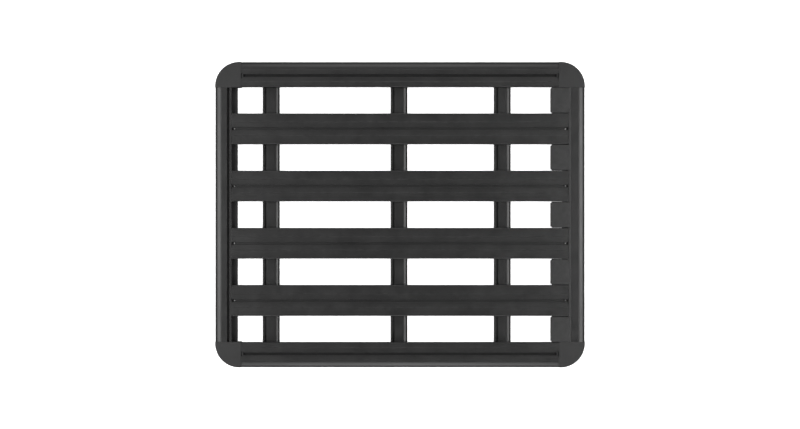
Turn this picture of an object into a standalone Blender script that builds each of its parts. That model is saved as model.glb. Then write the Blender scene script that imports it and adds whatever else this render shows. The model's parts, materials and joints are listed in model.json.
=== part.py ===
"""Flat roof platform: four wide slotted planks between two end rails and two side rails, with
corner castings, a front fairing, and three aero crossbars that slide along the planks' channels.

Metres. +X is the front of the vehicle, +Y its left side, +Z up. The origin is the centre of the
footprint, on the plane that the rails' lower edges stand on.
"""

import math

import bmesh
import bpy
from mathutils import Matrix, Vector

# Platform
PLATFORM_LENGTH = 1.500
PLATFORM_WIDTH = 1.240
RAIL_HEIGHT = 0.058
WALL = 0.0022
FIT_GAP = 0.0003
SMALL_RADIUS = 0.001

# Planks
PLANK_COUNT = 4
PLANK_WIDTH = 0.125
PLANK_THICKNESS = 0.025
PLANK_EDGE_RADIUS = 0.003
PLANK_RIB_OFFSET = 0.037

# Accessory slot in the top faces, and bolt channel in the undersides
SLOT_OPENING = 0.0115
SLOT_CAVITY_WIDTH = 0.021
CHANNEL_OPENING = 0.010
CHANNEL_WIDTH = 0.020
SLOT_LIP = 0.0025
SLOT_DEPTH = 0.008

# Perimeter rails, measured inwards from the outer edge; the shoulder is an arc that reaches the
# flat top, and leaves it at the shoulder's start, tilted, for a small round at the outer edge
SHOULDER_REACH = 0.028
SHOULDER_START = 0.0015
SHOULDER_TILT = math.radians(40)
SHOULDER_EDGE_RADIUS = 0.004
SKIRT_EDGE_RADIUS = 0.0015
SIDE_RAIL_WIDTH = 0.102
SIDE_SLOT_INSET = 0.056
END_RAIL_TOP_WIDTH = 0.067
END_SLOT_INSET = 0.054
END_SLOT_OPENING = 0.0105
LEDGE_REACH = 0.0222
LEDGE_THICKNESS = 0.005
SLOT_NOTCH_LENGTH = 0.0042

# Corner castings
CORNER_LENGTH = 0.1055
CORNER_WIDTH = 0.104
CORNER_RADIUS = 0.0985
CORNER_WALL = 0.004
CORNER_EDGE_RADIUS = 0.003
SPIGOT_LENGTH = 0.028
SPIGOT_WALL = 0.003
SPIGOT_CLEARANCE = 0.0004
TONGUE_LENGTH = 0.0085

# Front fairing
FAIRING_THICKNESS = 0.003
FAIRING_SPINE = 0.0088
TAB_LENGTH = 0.0728
TAB_SIDE_GAP = 0.0033
TAB_CORNER_RADIUS = 0.0055
TAB_SKIRT_DEPTH = 0.012
TAB_SKIRT_WALL = 0.0022
TAB_SKIRT_STEP = 0.0004
TAB_LIP_THICKNESS = 0.002
TAB_LIP_RISE = 0.0005
TAB_LIP_CLEARANCE = 0.0006
LEG_LENGTH = 0.017
LEG_WIDTH = 0.022

# Aero crossbars, measured forwards from the trailing edge and up from the underside
REAR_BAR_SETBACK = 0.224
MID_BAR_OFFSET = -0.0042
FRONT_BAR_SETBACK = 0.332
BAR_CHORD = 0.069
BAR_HEIGHT = 0.026
BAR_WALL = 0.0022
BAR_NOSE_START = 0.050
BAR_BELLY_END = 0.056
BAR_NOSE_HEIGHT = 0.011
BAR_TAIL_RADIUS = 0.004
BAR_SLOT_INSET = 0.0125
BAR_SLOT_OPENING = 0.0094
BAR_SLOT_WIDTH = 0.016
BAR_SLOT_DEPTH = 0.007
BAR_CHAMBER_START = 0.023
BAR_CHAMBER_END = 0.046
BAR_END_ROOM = 0.0065
CAP_THICKNESS = 0.003
CAP_PLUG_LENGTH = 0.012
CAP_PLUG_CLEARANCE = 0.0005

# Fasteners
BOLT_RADIUS = 0.003
BOLT_HEAD_LENGTH = 0.012
BOLT_HEAD_HEIGHT = 0.0045
BOLT_HEAD_CLEARANCE = 0.001
HOLE_CLEARANCE = 0.0003
THREAD_CLEARANCE = 0.0002
NUT_RADIUS = 0.0058
NUT_THICKNESS = 0.005
PLANK_SCREW_HEAD = (0.0055, 0.0035)
SMALL_SCREW_RADIUS = 0.0025
SMALL_SCREW_HEAD = (0.005, 0.003)
CORNER_SCREW_HEIGHT = 0.014
SCREW_TIP_ROOM = 0.002
HEAD_RIM_SHARE = 0.55
HEAD_DOME_SHARES = ((0.85, 0.9), (0.6, 1.0))

# Facets of the round faces, and the distances below which two points count as one
ROUND_SIDES = 16
LARGE_ARC_STEPS = 12
SHOULDER_ARC_STEPS = 8
SMALL_ARC_STEPS = 3
EDGE_ARC_STEPS = 2
SMOOTH_ANGLE = math.radians(32)
SAME_POINT = 0.000005
SAME_TURNED_POINT = 0.00001
SAME_HEIGHT = 0.000001

# Heights and places that follow from the sizes above; the crest and the drop are the distances,
# inwards and down, at which the shoulder's tilted line meets the flat top and the outer edge
SKIRT_WIDTH = SHOULDER_REACH + WALL
SHOULDER_RADIUS = (SHOULDER_REACH - SHOULDER_START) / math.sin(SHOULDER_TILT)
SHOULDER_CREST = SHOULDER_REACH - SHOULDER_RADIUS * math.tan(SHOULDER_TILT / 2)
SHOULDER_DROP = SHOULDER_CREST * math.tan(SHOULDER_TILT)
DECK_UNDERSIDE = RAIL_HEIGHT - PLANK_THICKNESS
PLANK_WEB = PLANK_THICKNESS - 2 * (SLOT_LIP + SLOT_DEPTH)
PLANK_WEB_MIDDLE = RAIL_HEIGHT - PLANK_THICKNESS / 2
LEDGE_TOP = DECK_UNDERSIDE - FIT_GAP
LEDGE_UNDERSIDE = LEDGE_TOP - LEDGE_THICKNESS
HALF_LENGTH = PLATFORM_LENGTH / 2
HALF_WIDTH = PLATFORM_WIDTH / 2
PLANK_LENGTH = PLATFORM_LENGTH - 2 * (END_RAIL_TOP_WIDTH + FIT_GAP)
DECK_ROOM = PLATFORM_WIDTH - 2 * SIDE_RAIL_WIDTH
DECK_GAP = (DECK_ROOM - PLANK_COUNT * PLANK_WIDTH) / (PLANK_COUNT + 1)
PLANK_PITCH = PLANK_WIDTH + DECK_GAP
SIDE_JOINT = HALF_LENGTH - CORNER_LENGTH
END_JOINT = HALF_WIDTH - CORNER_WIDTH
SIDE_RAIL_LENGTH = 2 * (SIDE_JOINT - FIT_GAP)
END_RAIL_LENGTH = 2 * (END_JOINT - FIT_GAP)
BAR_BOTTOM = DECK_UNDERSIDE - FIT_GAP - BAR_HEIGHT
BAR_LENGTH = PLATFORM_WIDTH - 2 * (SKIRT_WIDTH + BAR_END_ROOM)
BAR_WEB_BOTTOM = BAR_WALL + BAR_SLOT_DEPTH
BAR_STATIONS = {
    "rear": REAR_BAR_SETBACK - HALF_LENGTH,
    "mid": MID_BAR_OFFSET,
    "front": HALF_LENGTH - FRONT_BAR_SETBACK,
}
BOLT_HEAD_SIZE = (BOLT_HEAD_LENGTH, CHANNEL_WIDTH - 2 * BOLT_HEAD_CLEARANCE, BOLT_HEAD_HEIGHT)
BOLT_HOLE_RADIUS = BOLT_RADIUS + HOLE_CLEARANCE
THREAD_HOLE_RADIUS = BOLT_RADIUS + THREAD_CLEARANCE
SMALL_HOLE_RADIUS = SMALL_SCREW_RADIUS + HOLE_CLEARANCE
LEDGE_MIDDLE_X = HALF_LENGTH - END_RAIL_TOP_WIDTH - LEDGE_REACH / 2

# Directions that a rail's section can face: the turn about +Z of its inward axis
TOWARDS_FRONT = 0.0
TOWARDS_LEFT = math.pi / 2
TOWARDS_REAR = math.pi
TOWARDS_RIGHT = -math.pi / 2


def clear_scene():
    for item in list(bpy.data.objects):
        bpy.data.objects.remove(item, do_unlink=True)


def new_collection(name):
    collection = bpy.data.collections.new(name)
    bpy.context.scene.collection.children.link(collection)
    return collection


def new_material(name, colour, roughness, metallic):
    material = bpy.data.materials.new(name)
    material.use_nodes = True
    shader = material.node_tree.nodes["Principled BSDF"]
    shader.inputs["Base Color"].default_value = (*colour, 1.0)
    shader.inputs["Roughness"].default_value = roughness
    shader.inputs["Metallic"].default_value = metallic
    return material


# Outlines


def arc_steps(radius):
    if radius > 2 * SHOULDER_RADIUS:
        return LARGE_ARC_STEPS
    return SHOULDER_ARC_STEPS if radius > SHOULDER_RADIUS / 2 else SMALL_ARC_STEPS


def rounded(corners):
    """Points of an outline whose corners are (u, v, radius), with an arc at each round one."""
    points = []
    for index, (u, v, radius) in enumerate(corners):
        here = Vector((u, v))
        if radius == 0:
            points.append(here)
            continue
        back = (Vector(corners[index - 1][:2]) - here).normalized()
        ahead = (Vector(corners[(index + 1) % len(corners)][:2]) - here).normalized()
        half = back.angle(ahead) / 2
        centre = here + (back + ahead).normalized() * (radius / math.sin(half))
        start = here + back * (radius / math.tan(half)) - centre
        end = here + ahead * (radius / math.tan(half)) - centre
        turn = math.atan2(start.cross(end), start.dot(end))
        steps = arc_steps(radius)
        for step in range(steps + 1):
            points.append(centre + Matrix.Rotation(turn * step / steps, 2) @ start)
    return points


def rectangle(low, high, radius=0.0):
    """Corners of a rectangle between two (u, v) points."""
    return [
        (low[0], low[1], radius),
        (low[0], high[1], radius),
        (high[0], high[1], radius),
        (high[0], low[1], radius),
    ]


def slot_corners(centre, face, inwards, opening, width, lip, depth):
    """Corners of a T-slot, in order of growing u; inwards is -1 in a top face, 1 in an underside."""
    shoulder = face + inwards * lip
    floor = face + inwards * (lip + depth)
    return [
        (centre - opening / 2, face, 0),
        (centre - opening / 2, shoulder, 0),
        (centre - width / 2, shoulder, 0),
        (centre - width / 2, floor, 0),
        (centre + width / 2, floor, 0),
        (centre + width / 2, shoulder, 0),
        (centre + opening / 2, shoulder, 0),
        (centre + opening / 2, face, 0),
    ]


def top_slot(centre, opening=SLOT_OPENING):
    return slot_corners(centre, RAIL_HEIGHT, -1, opening, SLOT_CAVITY_WIDTH, SLOT_LIP, SLOT_DEPTH)


def channel(centre):
    corners = slot_corners(
        centre, DECK_UNDERSIDE, 1, CHANNEL_OPENING, CHANNEL_WIDTH, SLOT_LIP, SLOT_DEPTH
    )
    return corners[::-1]


def quarter_ellipse(centre, reach, start):
    """Points of a quarter turn, clockwise from the start angle in degrees."""
    points = []
    for step in range(SHOULDER_ARC_STEPS + 1):
        angle = math.radians(start - 90 * step / SHOULDER_ARC_STEPS)
        points.append(
            Vector((centre[0] + reach[0] * math.cos(angle), centre[1] + reach[1] * math.sin(angle)))
        )
    return points


# Meshes and objects


def weld(mesh):
    """Joins the loose caps of an extruded outline to its walls, and turns all faces outwards."""
    work = bmesh.new()
    work.from_mesh(mesh)
    bmesh.ops.remove_doubles(work, verts=work.verts, dist=SAME_POINT)
    level = [edge for edge in work.edges if is_level(edge.link_faces)]
    caps = {face for edge in level for face in edge.link_faces}
    bmesh.ops.beautify_fill(work, faces=list(caps), edges=level, method="ANGLE")
    bmesh.ops.recalc_face_normals(work, faces=work.faces)
    work.to_mesh(mesh)
    work.free()


def is_level(faces):
    """Whether the faces are triangles of one flat cap, so that their shared edge may be turned."""
    corners = [vertex.co.z for face in faces for vertex in face.verts]
    return len(corners) == 6 and max(corners) - min(corners) < SAME_HEIGHT


def finish_mesh(mesh):
    mesh.shade_smooth()
    mesh.set_sharp_from_angle(angle=SMOOTH_ANGLE)
    return mesh


def evaluated_mesh(source):
    """The mesh that an object's curve or modifiers make; the object itself goes away."""
    bpy.context.view_layer.update()
    graph = bpy.context.evaluated_depsgraph_get()
    mesh = bpy.data.meshes.new_from_object(source.evaluated_get(graph))
    bpy.data.objects.remove(source, do_unlink=True)
    weld(mesh)
    return finish_mesh(mesh)


def extruded_mesh(name, loops, length):
    """A flat outline, with any inner loops as chambers, made `length` thick about its own plane."""
    curve = bpy.data.curves.new(name, "CURVE")
    curve.dimensions = "2D"
    curve.fill_mode = "BOTH"
    curve.extrude = length / 2
    for loop in loops:
        spline = curve.splines.new("POLY")
        spline.points.add(len(loop) - 1)
        for point, place in zip(spline.points, loop):
            point.co = (place.x, place.y, 0, 1)
        spline.use_cyclic_u = True
    source = bpy.data.objects.new(name, curve)
    bpy.context.scene.collection.objects.link(source)
    mesh = evaluated_mesh(source)
    bpy.data.curves.remove(curve)
    mesh.name = name
    return mesh


def box_mesh(name, size):
    work = bmesh.new()
    bmesh.ops.create_cube(work, size=1.0, matrix=Matrix.Diagonal((*size, 1.0)))
    mesh = bpy.data.meshes.new(name)
    work.to_mesh(mesh)
    work.free()
    return mesh


def cylinder_mesh(name, radius, length, sides=ROUND_SIDES):
    work = bmesh.new()
    bmesh.ops.create_cone(
        work, cap_ends=True, segments=sides, radius1=radius, radius2=radius, depth=length
    )
    mesh = bpy.data.meshes.new(name)
    work.to_mesh(mesh)
    work.free()
    return mesh


def turned_mesh(name, profile):
    """A solid of revolution about Z; its (radius, height) points run from the top to the bottom."""
    mesh = bpy.data.meshes.new(name)
    points = [(radius, 0, height) for radius, height in profile]
    edges = [(index, index + 1) for index in range(len(profile) - 1)]
    mesh.from_pydata(points, edges, [])
    source = bpy.data.objects.new(name, mesh)
    bpy.context.scene.collection.objects.link(source)
    screw = source.modifiers.new("turn", "SCREW")
    screw.axis = "Z"
    screw.steps = ROUND_SIDES
    screw.render_steps = ROUND_SIDES
    screw.use_merge_vertices = True
    screw.merge_threshold = SAME_TURNED_POINT
    return evaluated_mesh(source)


def add_object(name, mesh, material, place, turn=(0, 0, 0), parent=None):
    """A sub-part of the platform; under a parent its place is relative to the parent."""
    if not mesh.materials:
        mesh.materials.append(material)
    item = bpy.data.objects.new(name, mesh)
    item.location = place
    item.rotation_euler = turn
    item.parent = parent
    PARTS.objects.link(item)
    return item


def add_tool(item, mesh, place, turn=(0, 0, 0), operation="DIFFERENCE"):
    """Cuts a solid out of a sub-part, or joins it on; the place is in the sub-part's parent."""
    tool = bpy.data.objects.new(f"{item.name}_{operation.lower()}_{len(item.modifiers)}", mesh)
    tool.location = place
    tool.rotation_euler = turn
    tool.parent = item.parent
    tool.hide_render = True
    tool.display_type = "WIRE"
    CUTTERS.objects.link(tool)
    boolean = item.modifiers.new(tool.name, "BOOLEAN")
    boolean.operation = operation
    boolean.solver = "EXACT"
    boolean.object = tool


def add_hole(item, radius, length, place, turn=(0, 0, 0)):
    add_tool(item, cylinder_mesh("hole", radius, length), place, turn)


def facing(heading):
    """Turns a section so that its v axis is up and its u axis points along the heading."""
    return (math.pi / 2, 0, heading)


# Sections, with u measured inwards from the outer edge and v up from the ground plane


def skirt_chamber(inset=0.0):
    """The hollow behind the shoulder, which the corner castings' spigots fill less a clearance."""
    low = WALL + inset
    side = SHOULDER_REACH - inset
    radius = SHOULDER_RADIUS - WALL - inset
    first, last = (math.acos((u - SHOULDER_REACH) / radius) for u in (low, side))
    corners = [(low, low, 0)]
    for step in range(SHOULDER_ARC_STEPS + 1):
        angle = first + (last - first) * step / SHOULDER_ARC_STEPS
        u = SHOULDER_REACH + radius * math.cos(angle)
        v = RAIL_HEIGHT - SHOULDER_RADIUS + radius * math.sin(angle)
        corners.append((u, v, 0))
    corners.append((side, low, 0))
    return corners


def skirt_start():
    """The outer edge, from its foot, and the shoulder."""
    return [
        (0, 0, SKIRT_EDGE_RADIUS),
        (0, RAIL_HEIGHT - SHOULDER_DROP, SHOULDER_EDGE_RADIUS),
        (SHOULDER_CREST, RAIL_HEIGHT, SHOULDER_RADIUS),
    ]


def side_rail_loops():
    outline = [
        *skirt_start(),
        *top_slot(SIDE_SLOT_INSET),
        (SIDE_RAIL_WIDTH, RAIL_HEIGHT, PLANK_EDGE_RADIUS),
        (SIDE_RAIL_WIDTH, DECK_UNDERSIDE, SKIRT_EDGE_RADIUS),
        *channel(SIDE_SLOT_INSET),
        (SKIRT_WIDTH, DECK_UNDERSIDE, SKIRT_EDGE_RADIUS),
        (SKIRT_WIDTH, 0, SKIRT_EDGE_RADIUS),
    ]
    slot_wall = SLOT_CAVITY_WIDTH / 2 + WALL
    low = DECK_UNDERSIDE + WALL
    high = RAIL_HEIGHT - WALL
    return [
        outline,
        skirt_chamber(),
        rectangle((SKIRT_WIDTH, low), (SIDE_SLOT_INSET - slot_wall, high)),
        rectangle((SIDE_SLOT_INSET + slot_wall, low), (SIDE_RAIL_WIDTH - WALL, high)),
    ]


def rear_rail_loops():
    outline = [
        *skirt_start(),
        *top_slot(END_SLOT_INSET, END_SLOT_OPENING),
        *ledge_corners(RAIL_HEIGHT),
    ]
    low = LEDGE_UNDERSIDE + WALL
    slot_start = END_SLOT_INSET - SLOT_CAVITY_WIDTH / 2
    slot_floor = RAIL_HEIGHT - SLOT_LIP - SLOT_DEPTH
    return [
        outline,
        skirt_chamber(),
        rectangle((SKIRT_WIDTH, low), (slot_start - WALL, RAIL_HEIGHT - WALL)),
        rectangle((slot_start, low), (END_RAIL_TOP_WIDTH - WALL, slot_floor - WALL)),
    ]


def front_rail_loops():
    rebate = RAIL_HEIGHT - FAIRING_THICKNESS - FIT_GAP
    rebate_start = END_RAIL_TOP_WIDTH - FAIRING_SPINE - FIT_GAP
    outline = [
        *skirt_start(),
        (rebate_start, RAIL_HEIGHT, 0),
        (rebate_start, rebate, 0),
        *ledge_corners(rebate),
    ]
    low = LEDGE_UNDERSIDE + WALL
    rib = (SKIRT_WIDTH + END_RAIL_TOP_WIDTH) / 2
    return [
        outline,
        skirt_chamber(),
        rectangle((SKIRT_WIDTH, low), (rib - WALL / 2, RAIL_HEIGHT - WALL)),
        rectangle((rib + WALL / 2, low), (END_RAIL_TOP_WIDTH - WALL, rebate - WALL)),
    ]


def ledge_corners(wall_top):
    """The inner wall of an end rail and the ledge below it, which the planks' ends rest on."""
    ledge_edge = END_RAIL_TOP_WIDTH + LEDGE_REACH
    return [
        (END_RAIL_TOP_WIDTH, wall_top, SMALL_RADIUS),
        (END_RAIL_TOP_WIDTH, LEDGE_TOP, 0),
        (ledge_edge, LEDGE_TOP, SMALL_RADIUS),
        (ledge_edge, LEDGE_UNDERSIDE, SMALL_RADIUS),
        (SKIRT_WIDTH, LEDGE_UNDERSIDE, SKIRT_EDGE_RADIUS),
        (SKIRT_WIDTH, 0, SKIRT_EDGE_RADIUS),
    ]


def plank_loops():
    half = PLANK_WIDTH / 2
    outline = [
        (-half, DECK_UNDERSIDE, SKIRT_EDGE_RADIUS),
        (-half, RAIL_HEIGHT, PLANK_EDGE_RADIUS),
        *top_slot(0),
        (half, RAIL_HEIGHT, PLANK_EDGE_RADIUS),
        (half, DECK_UNDERSIDE, SKIRT_EDGE_RADIUS),
        *channel(0),
    ]
    loops = [outline]
    low = DECK_UNDERSIDE + WALL
    high = RAIL_HEIGHT - WALL
    spans = [
        (SLOT_CAVITY_WIDTH / 2 + WALL, PLANK_RIB_OFFSET - WALL / 2),
        (PLANK_RIB_OFFSET + WALL / 2, half - WALL),
    ]
    for start, end in spans:
        loops.append(rectangle((start, low), (end, high)))
        loops.append(rectangle((-end, low), (-start, high)))
    return loops


def bar_nose(inset):
    """Leading edge of a crossbar, from its upper face round to its underside."""
    top = quarter_ellipse(
        (BAR_NOSE_START, BAR_NOSE_HEIGHT),
        (BAR_CHORD - BAR_NOSE_START - inset, BAR_HEIGHT - BAR_NOSE_HEIGHT - inset),
        90,
    )
    belly = quarter_ellipse(
        (BAR_BELLY_END, BAR_NOSE_HEIGHT),
        (BAR_CHORD - BAR_BELLY_END - inset, BAR_NOSE_HEIGHT - inset),
        0,
    )
    return top + belly[1:]


def bar_tail(with_slots):
    """Trailing part of a crossbar's outline, from its underside round to its upper face."""
    low = (0, 0, BAR_TAIL_RADIUS)
    high = (0, BAR_HEIGHT, BAR_TAIL_RADIUS)
    start = (BAR_BELLY_END, 0, 0)
    end = (BAR_NOSE_START, BAR_HEIGHT, 0)
    if not with_slots:
        return rounded([start, low, high, end])[1:-1]
    size = (BAR_SLOT_OPENING, BAR_SLOT_WIDTH, BAR_WALL, BAR_SLOT_DEPTH)
    lower = slot_corners(BAR_SLOT_INSET, 0, 1, *size)[::-1]
    upper = slot_corners(BAR_SLOT_INSET, BAR_HEIGHT, -1, *size)
    return rounded([start, *lower, low, high, *upper, end])[1:-1]


def bar_front_chamber():
    start = BAR_CHAMBER_END + BAR_WALL
    lower = Vector((start, BAR_WALL))
    upper = Vector((start, BAR_HEIGHT - BAR_WALL))
    return [lower, upper, *bar_nose(BAR_WALL)]


def bar_loops():
    chamber = rectangle(
        (BAR_CHAMBER_START, BAR_WALL), (BAR_CHAMBER_END, BAR_HEIGHT - BAR_WALL), SMALL_RADIUS
    )
    return [bar_tail(True) + bar_nose(0), rounded(chamber), bar_front_chamber()]


# Sub-parts


def plank_positions():
    first = (PLANK_COUNT - 1) / 2 * PLANK_PITCH
    return [first - index * PLANK_PITCH for index in range(PLANK_COUNT)]


def gap_positions():
    first = PLANK_COUNT / 2 * PLANK_PITCH
    return [first - index * PLANK_PITCH for index in range(PLANK_COUNT + 1)]


def make_planks(coat):
    mesh = extruded_mesh("plank", [rounded(loop) for loop in plank_loops()], PLANK_LENGTH)
    for number, y in enumerate(plank_positions(), 1):
        plank = add_object(f"plank_{number}", mesh, coat, (0, y, 0), facing(TOWARDS_LEFT))
        for x in (LEDGE_MIDDLE_X, -LEDGE_MIDDLE_X):
            add_hole(plank, THREAD_HOLE_RADIUS, PLANK_WEB + SLOT_DEPTH, (x, y, PLANK_WEB_MIDDLE))


def make_side_rails(coat):
    mesh = extruded_mesh("side_rail", [rounded(loop) for loop in side_rail_loops()], SIDE_RAIL_LENGTH)
    notch = box_mesh("notch", (2 * SLOT_NOTCH_LENGTH, SLOT_CAVITY_WIDTH, 2 * SLOT_LIP + SMALL_RADIUS))
    for name, side, heading in (("left", 1, TOWARDS_RIGHT), ("right", -1, TOWARDS_LEFT)):
        rail = add_object(
            f"side_rail_{name}", mesh, coat, (0, side * HALF_WIDTH, 0), facing(heading)
        )
        for end in (1, -1):
            x = end * SIDE_RAIL_LENGTH / 2
            add_tool(rail, notch, (x, side * (HALF_WIDTH - SIDE_SLOT_INSET), RAIL_HEIGHT))


def make_end_rails(coat):
    ends = (
        ("front", 1, TOWARDS_REAR, front_rail_loops()),
        ("rear", -1, TOWARDS_FRONT, rear_rail_loops()),
    )
    for name, end, heading, loops in ends:
        mesh = extruded_mesh(f"end_rail_{name}", [rounded(loop) for loop in loops], END_RAIL_LENGTH)
        rail = add_object(
            f"end_rail_{name}", mesh, coat, (end * HALF_LENGTH, 0, 0), facing(heading)
        )
        ledge_middle = LEDGE_TOP - LEDGE_THICKNESS / 2
        for y in plank_positions():
            place = (end * LEDGE_MIDDLE_X, y, ledge_middle)
            add_hole(rail, BOLT_HOLE_RADIUS, 2 * LEDGE_THICKNESS, place)
        for side in (1, -1):
            x = end * (HALF_LENGTH - SKIRT_WIDTH)
            place = (x, side * corner_screw_y(), CORNER_SCREW_HEIGHT)
            add_hole(rail, SMALL_HOLE_RADIUS, 4 * WALL, place, (0, math.pi / 2, 0))
            if name == "front":
                place = (LEDGE_MIDDLE_X, side * gap_positions()[0], ledge_middle)
                add_hole(rail, SMALL_HOLE_RADIUS, 2 * LEDGE_THICKNESS, place)


def corner_screw_y():
    return END_JOINT - SPIGOT_LENGTH / 2


def corner_plan(end, side, inset_joint, inset_outer):
    """Plan outline of a corner casting, grown or shrunk at its joint faces and its outer faces."""
    inner_x = SIDE_JOINT + inset_joint
    inner_y = END_JOINT + inset_joint
    outer_x = HALF_LENGTH - inset_outer
    outer_y = HALF_WIDTH - inset_outer
    corners = [
        (inner_x, inner_y, 0),
        (inner_x, outer_y, 0),
        (outer_x, outer_y, CORNER_RADIUS - inset_outer),
        (outer_x, inner_y, 0),
    ]
    return [Vector((end * point.x, side * point.y)) for point in rounded(corners)]


def soften_outer_edge(mesh, end, side):
    """Rounds the casting's top edge along its outer faces, and leaves the joint edges square."""
    work = bmesh.new()
    work.from_mesh(mesh)
    top = max(vertex.co.z for vertex in work.verts)
    edges = []
    for edge in work.edges:
        middle = (edge.verts[0].co + edge.verts[1].co) / 2
        flat = min(vertex.co.z for vertex in edge.verts) > top - FIT_GAP
        past_side_joint = end * middle.x > SIDE_JOINT + FIT_GAP
        past_end_joint = side * middle.y > END_JOINT + FIT_GAP
        rim = len(edge.link_faces) == 2 and edge.calc_face_angle(0) > SMOOTH_ANGLE
        if flat and past_side_joint and past_end_joint and rim:
            edges.append(edge)
    bmesh.ops.bevel(
        work, geom=edges, offset=CORNER_EDGE_RADIUS, segments=EDGE_ARC_STEPS, profile=0.5, affect="EDGES"
    )
    work.to_mesh(mesh)
    work.free()
    finish_mesh(mesh)


def make_corner(name, end, side, plastic):
    body = extruded_mesh(name, [corner_plan(end, side, 0, 0)], RAIL_HEIGHT)
    soften_outer_edge(body, end, side)
    corner = add_object(name, body, plastic, (0, 0, RAIL_HEIGHT / 2))

    hollow = extruded_mesh("hollow", [corner_plan(end, side, CORNER_WALL, CORNER_WALL)], RAIL_HEIGHT)
    add_tool(corner, hollow, (0, 0, RAIL_HEIGHT / 2 - CORNER_WALL))
    inboard = corner_plan(end, side, -CORNER_WALL, SKIRT_WIDTH)
    below = LEDGE_UNDERSIDE
    add_tool(corner, extruded_mesh("inboard", [inboard], 2 * below), (0, 0, 0))

    spigot_outline = rounded(skirt_chamber(SPIGOT_CLEARANCE))
    pocket_inset = SPIGOT_CLEARANCE + SPIGOT_WALL
    pocket_low = (WALL + pocket_inset, WALL + pocket_inset)
    pocket_high = (SHOULDER_REACH - pocket_inset, RAIL_HEIGHT - SHOULDER_REACH)
    pocket_outline = rounded(rectangle(pocket_low, pocket_high))
    root = CORNER_WALL / 2
    spigot = extruded_mesh("spigot", [spigot_outline], SPIGOT_LENGTH + root)
    pocket = extruded_mesh("pocket", [pocket_outline], SPIGOT_LENGTH)
    middle = (SPIGOT_LENGTH - root) / 2
    pocket_middle = SPIGOT_LENGTH / 2 + SPIGOT_WALL
    along_side = facing(-side * math.pi / 2)
    along_end = facing(TOWARDS_REAR if end > 0 else TOWARDS_FRONT)
    side_y = side * HALF_WIDTH
    end_x = end * HALF_LENGTH
    add_tool(corner, spigot, (end * (SIDE_JOINT - middle), side_y, 0), along_side, "UNION")
    add_tool(corner, spigot, (end_x, side * (END_JOINT - middle), 0), along_end, "UNION")
    add_tool(corner, pocket, (end * (SIDE_JOINT - pocket_middle), side_y, 0), along_side)
    add_tool(corner, pocket, (end_x, side * (END_JOINT - pocket_middle), 0), along_end)

    slot_y = side * (HALF_WIDTH - SIDE_SLOT_INSET)
    cavity_top = RAIL_HEIGHT - SLOT_LIP
    tongue_size = (TONGUE_LENGTH + root, SLOT_CAVITY_WIDTH - 2 * FIT_GAP, SLOT_DEPTH - 2 * FIT_GAP)
    tongue_x = end * (SIDE_JOINT - (TONGUE_LENGTH - root) / 2)
    tongue_place = (tongue_x, slot_y, cavity_top - SLOT_DEPTH / 2)
    add_tool(corner, box_mesh("tongue", tongue_size), tongue_place, operation="UNION")
    tip_length = TONGUE_LENGTH - SLOT_NOTCH_LENGTH - FIT_GAP
    tip_size = (tip_length, SLOT_OPENING - 2 * FIT_GAP, SLOT_DEPTH)
    tip_x = end * (SIDE_JOINT - TONGUE_LENGTH + tip_length / 2)
    tip_place = (tip_x, slot_y, RAIL_HEIGHT - 2 * FIT_GAP - SLOT_DEPTH / 2)
    add_tool(corner, box_mesh("tip", tip_size), tip_place, operation="UNION")

    x = end * (HALF_LENGTH - SHOULDER_REACH)
    place = (x, side * corner_screw_y(), CORNER_SCREW_HEIGHT)
    add_hole(corner, SMALL_HOLE_RADIUS, 4 * SPIGOT_WALL, place, (0, math.pi / 2, 0))


def make_corners(plastic):
    for end_name, end in (("front", 1), ("rear", -1)):
        for side_name, side in (("left", 1), ("right", -1)):
            make_corner(f"corner_{end_name}_{side_name}", end, side, plastic)


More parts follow.
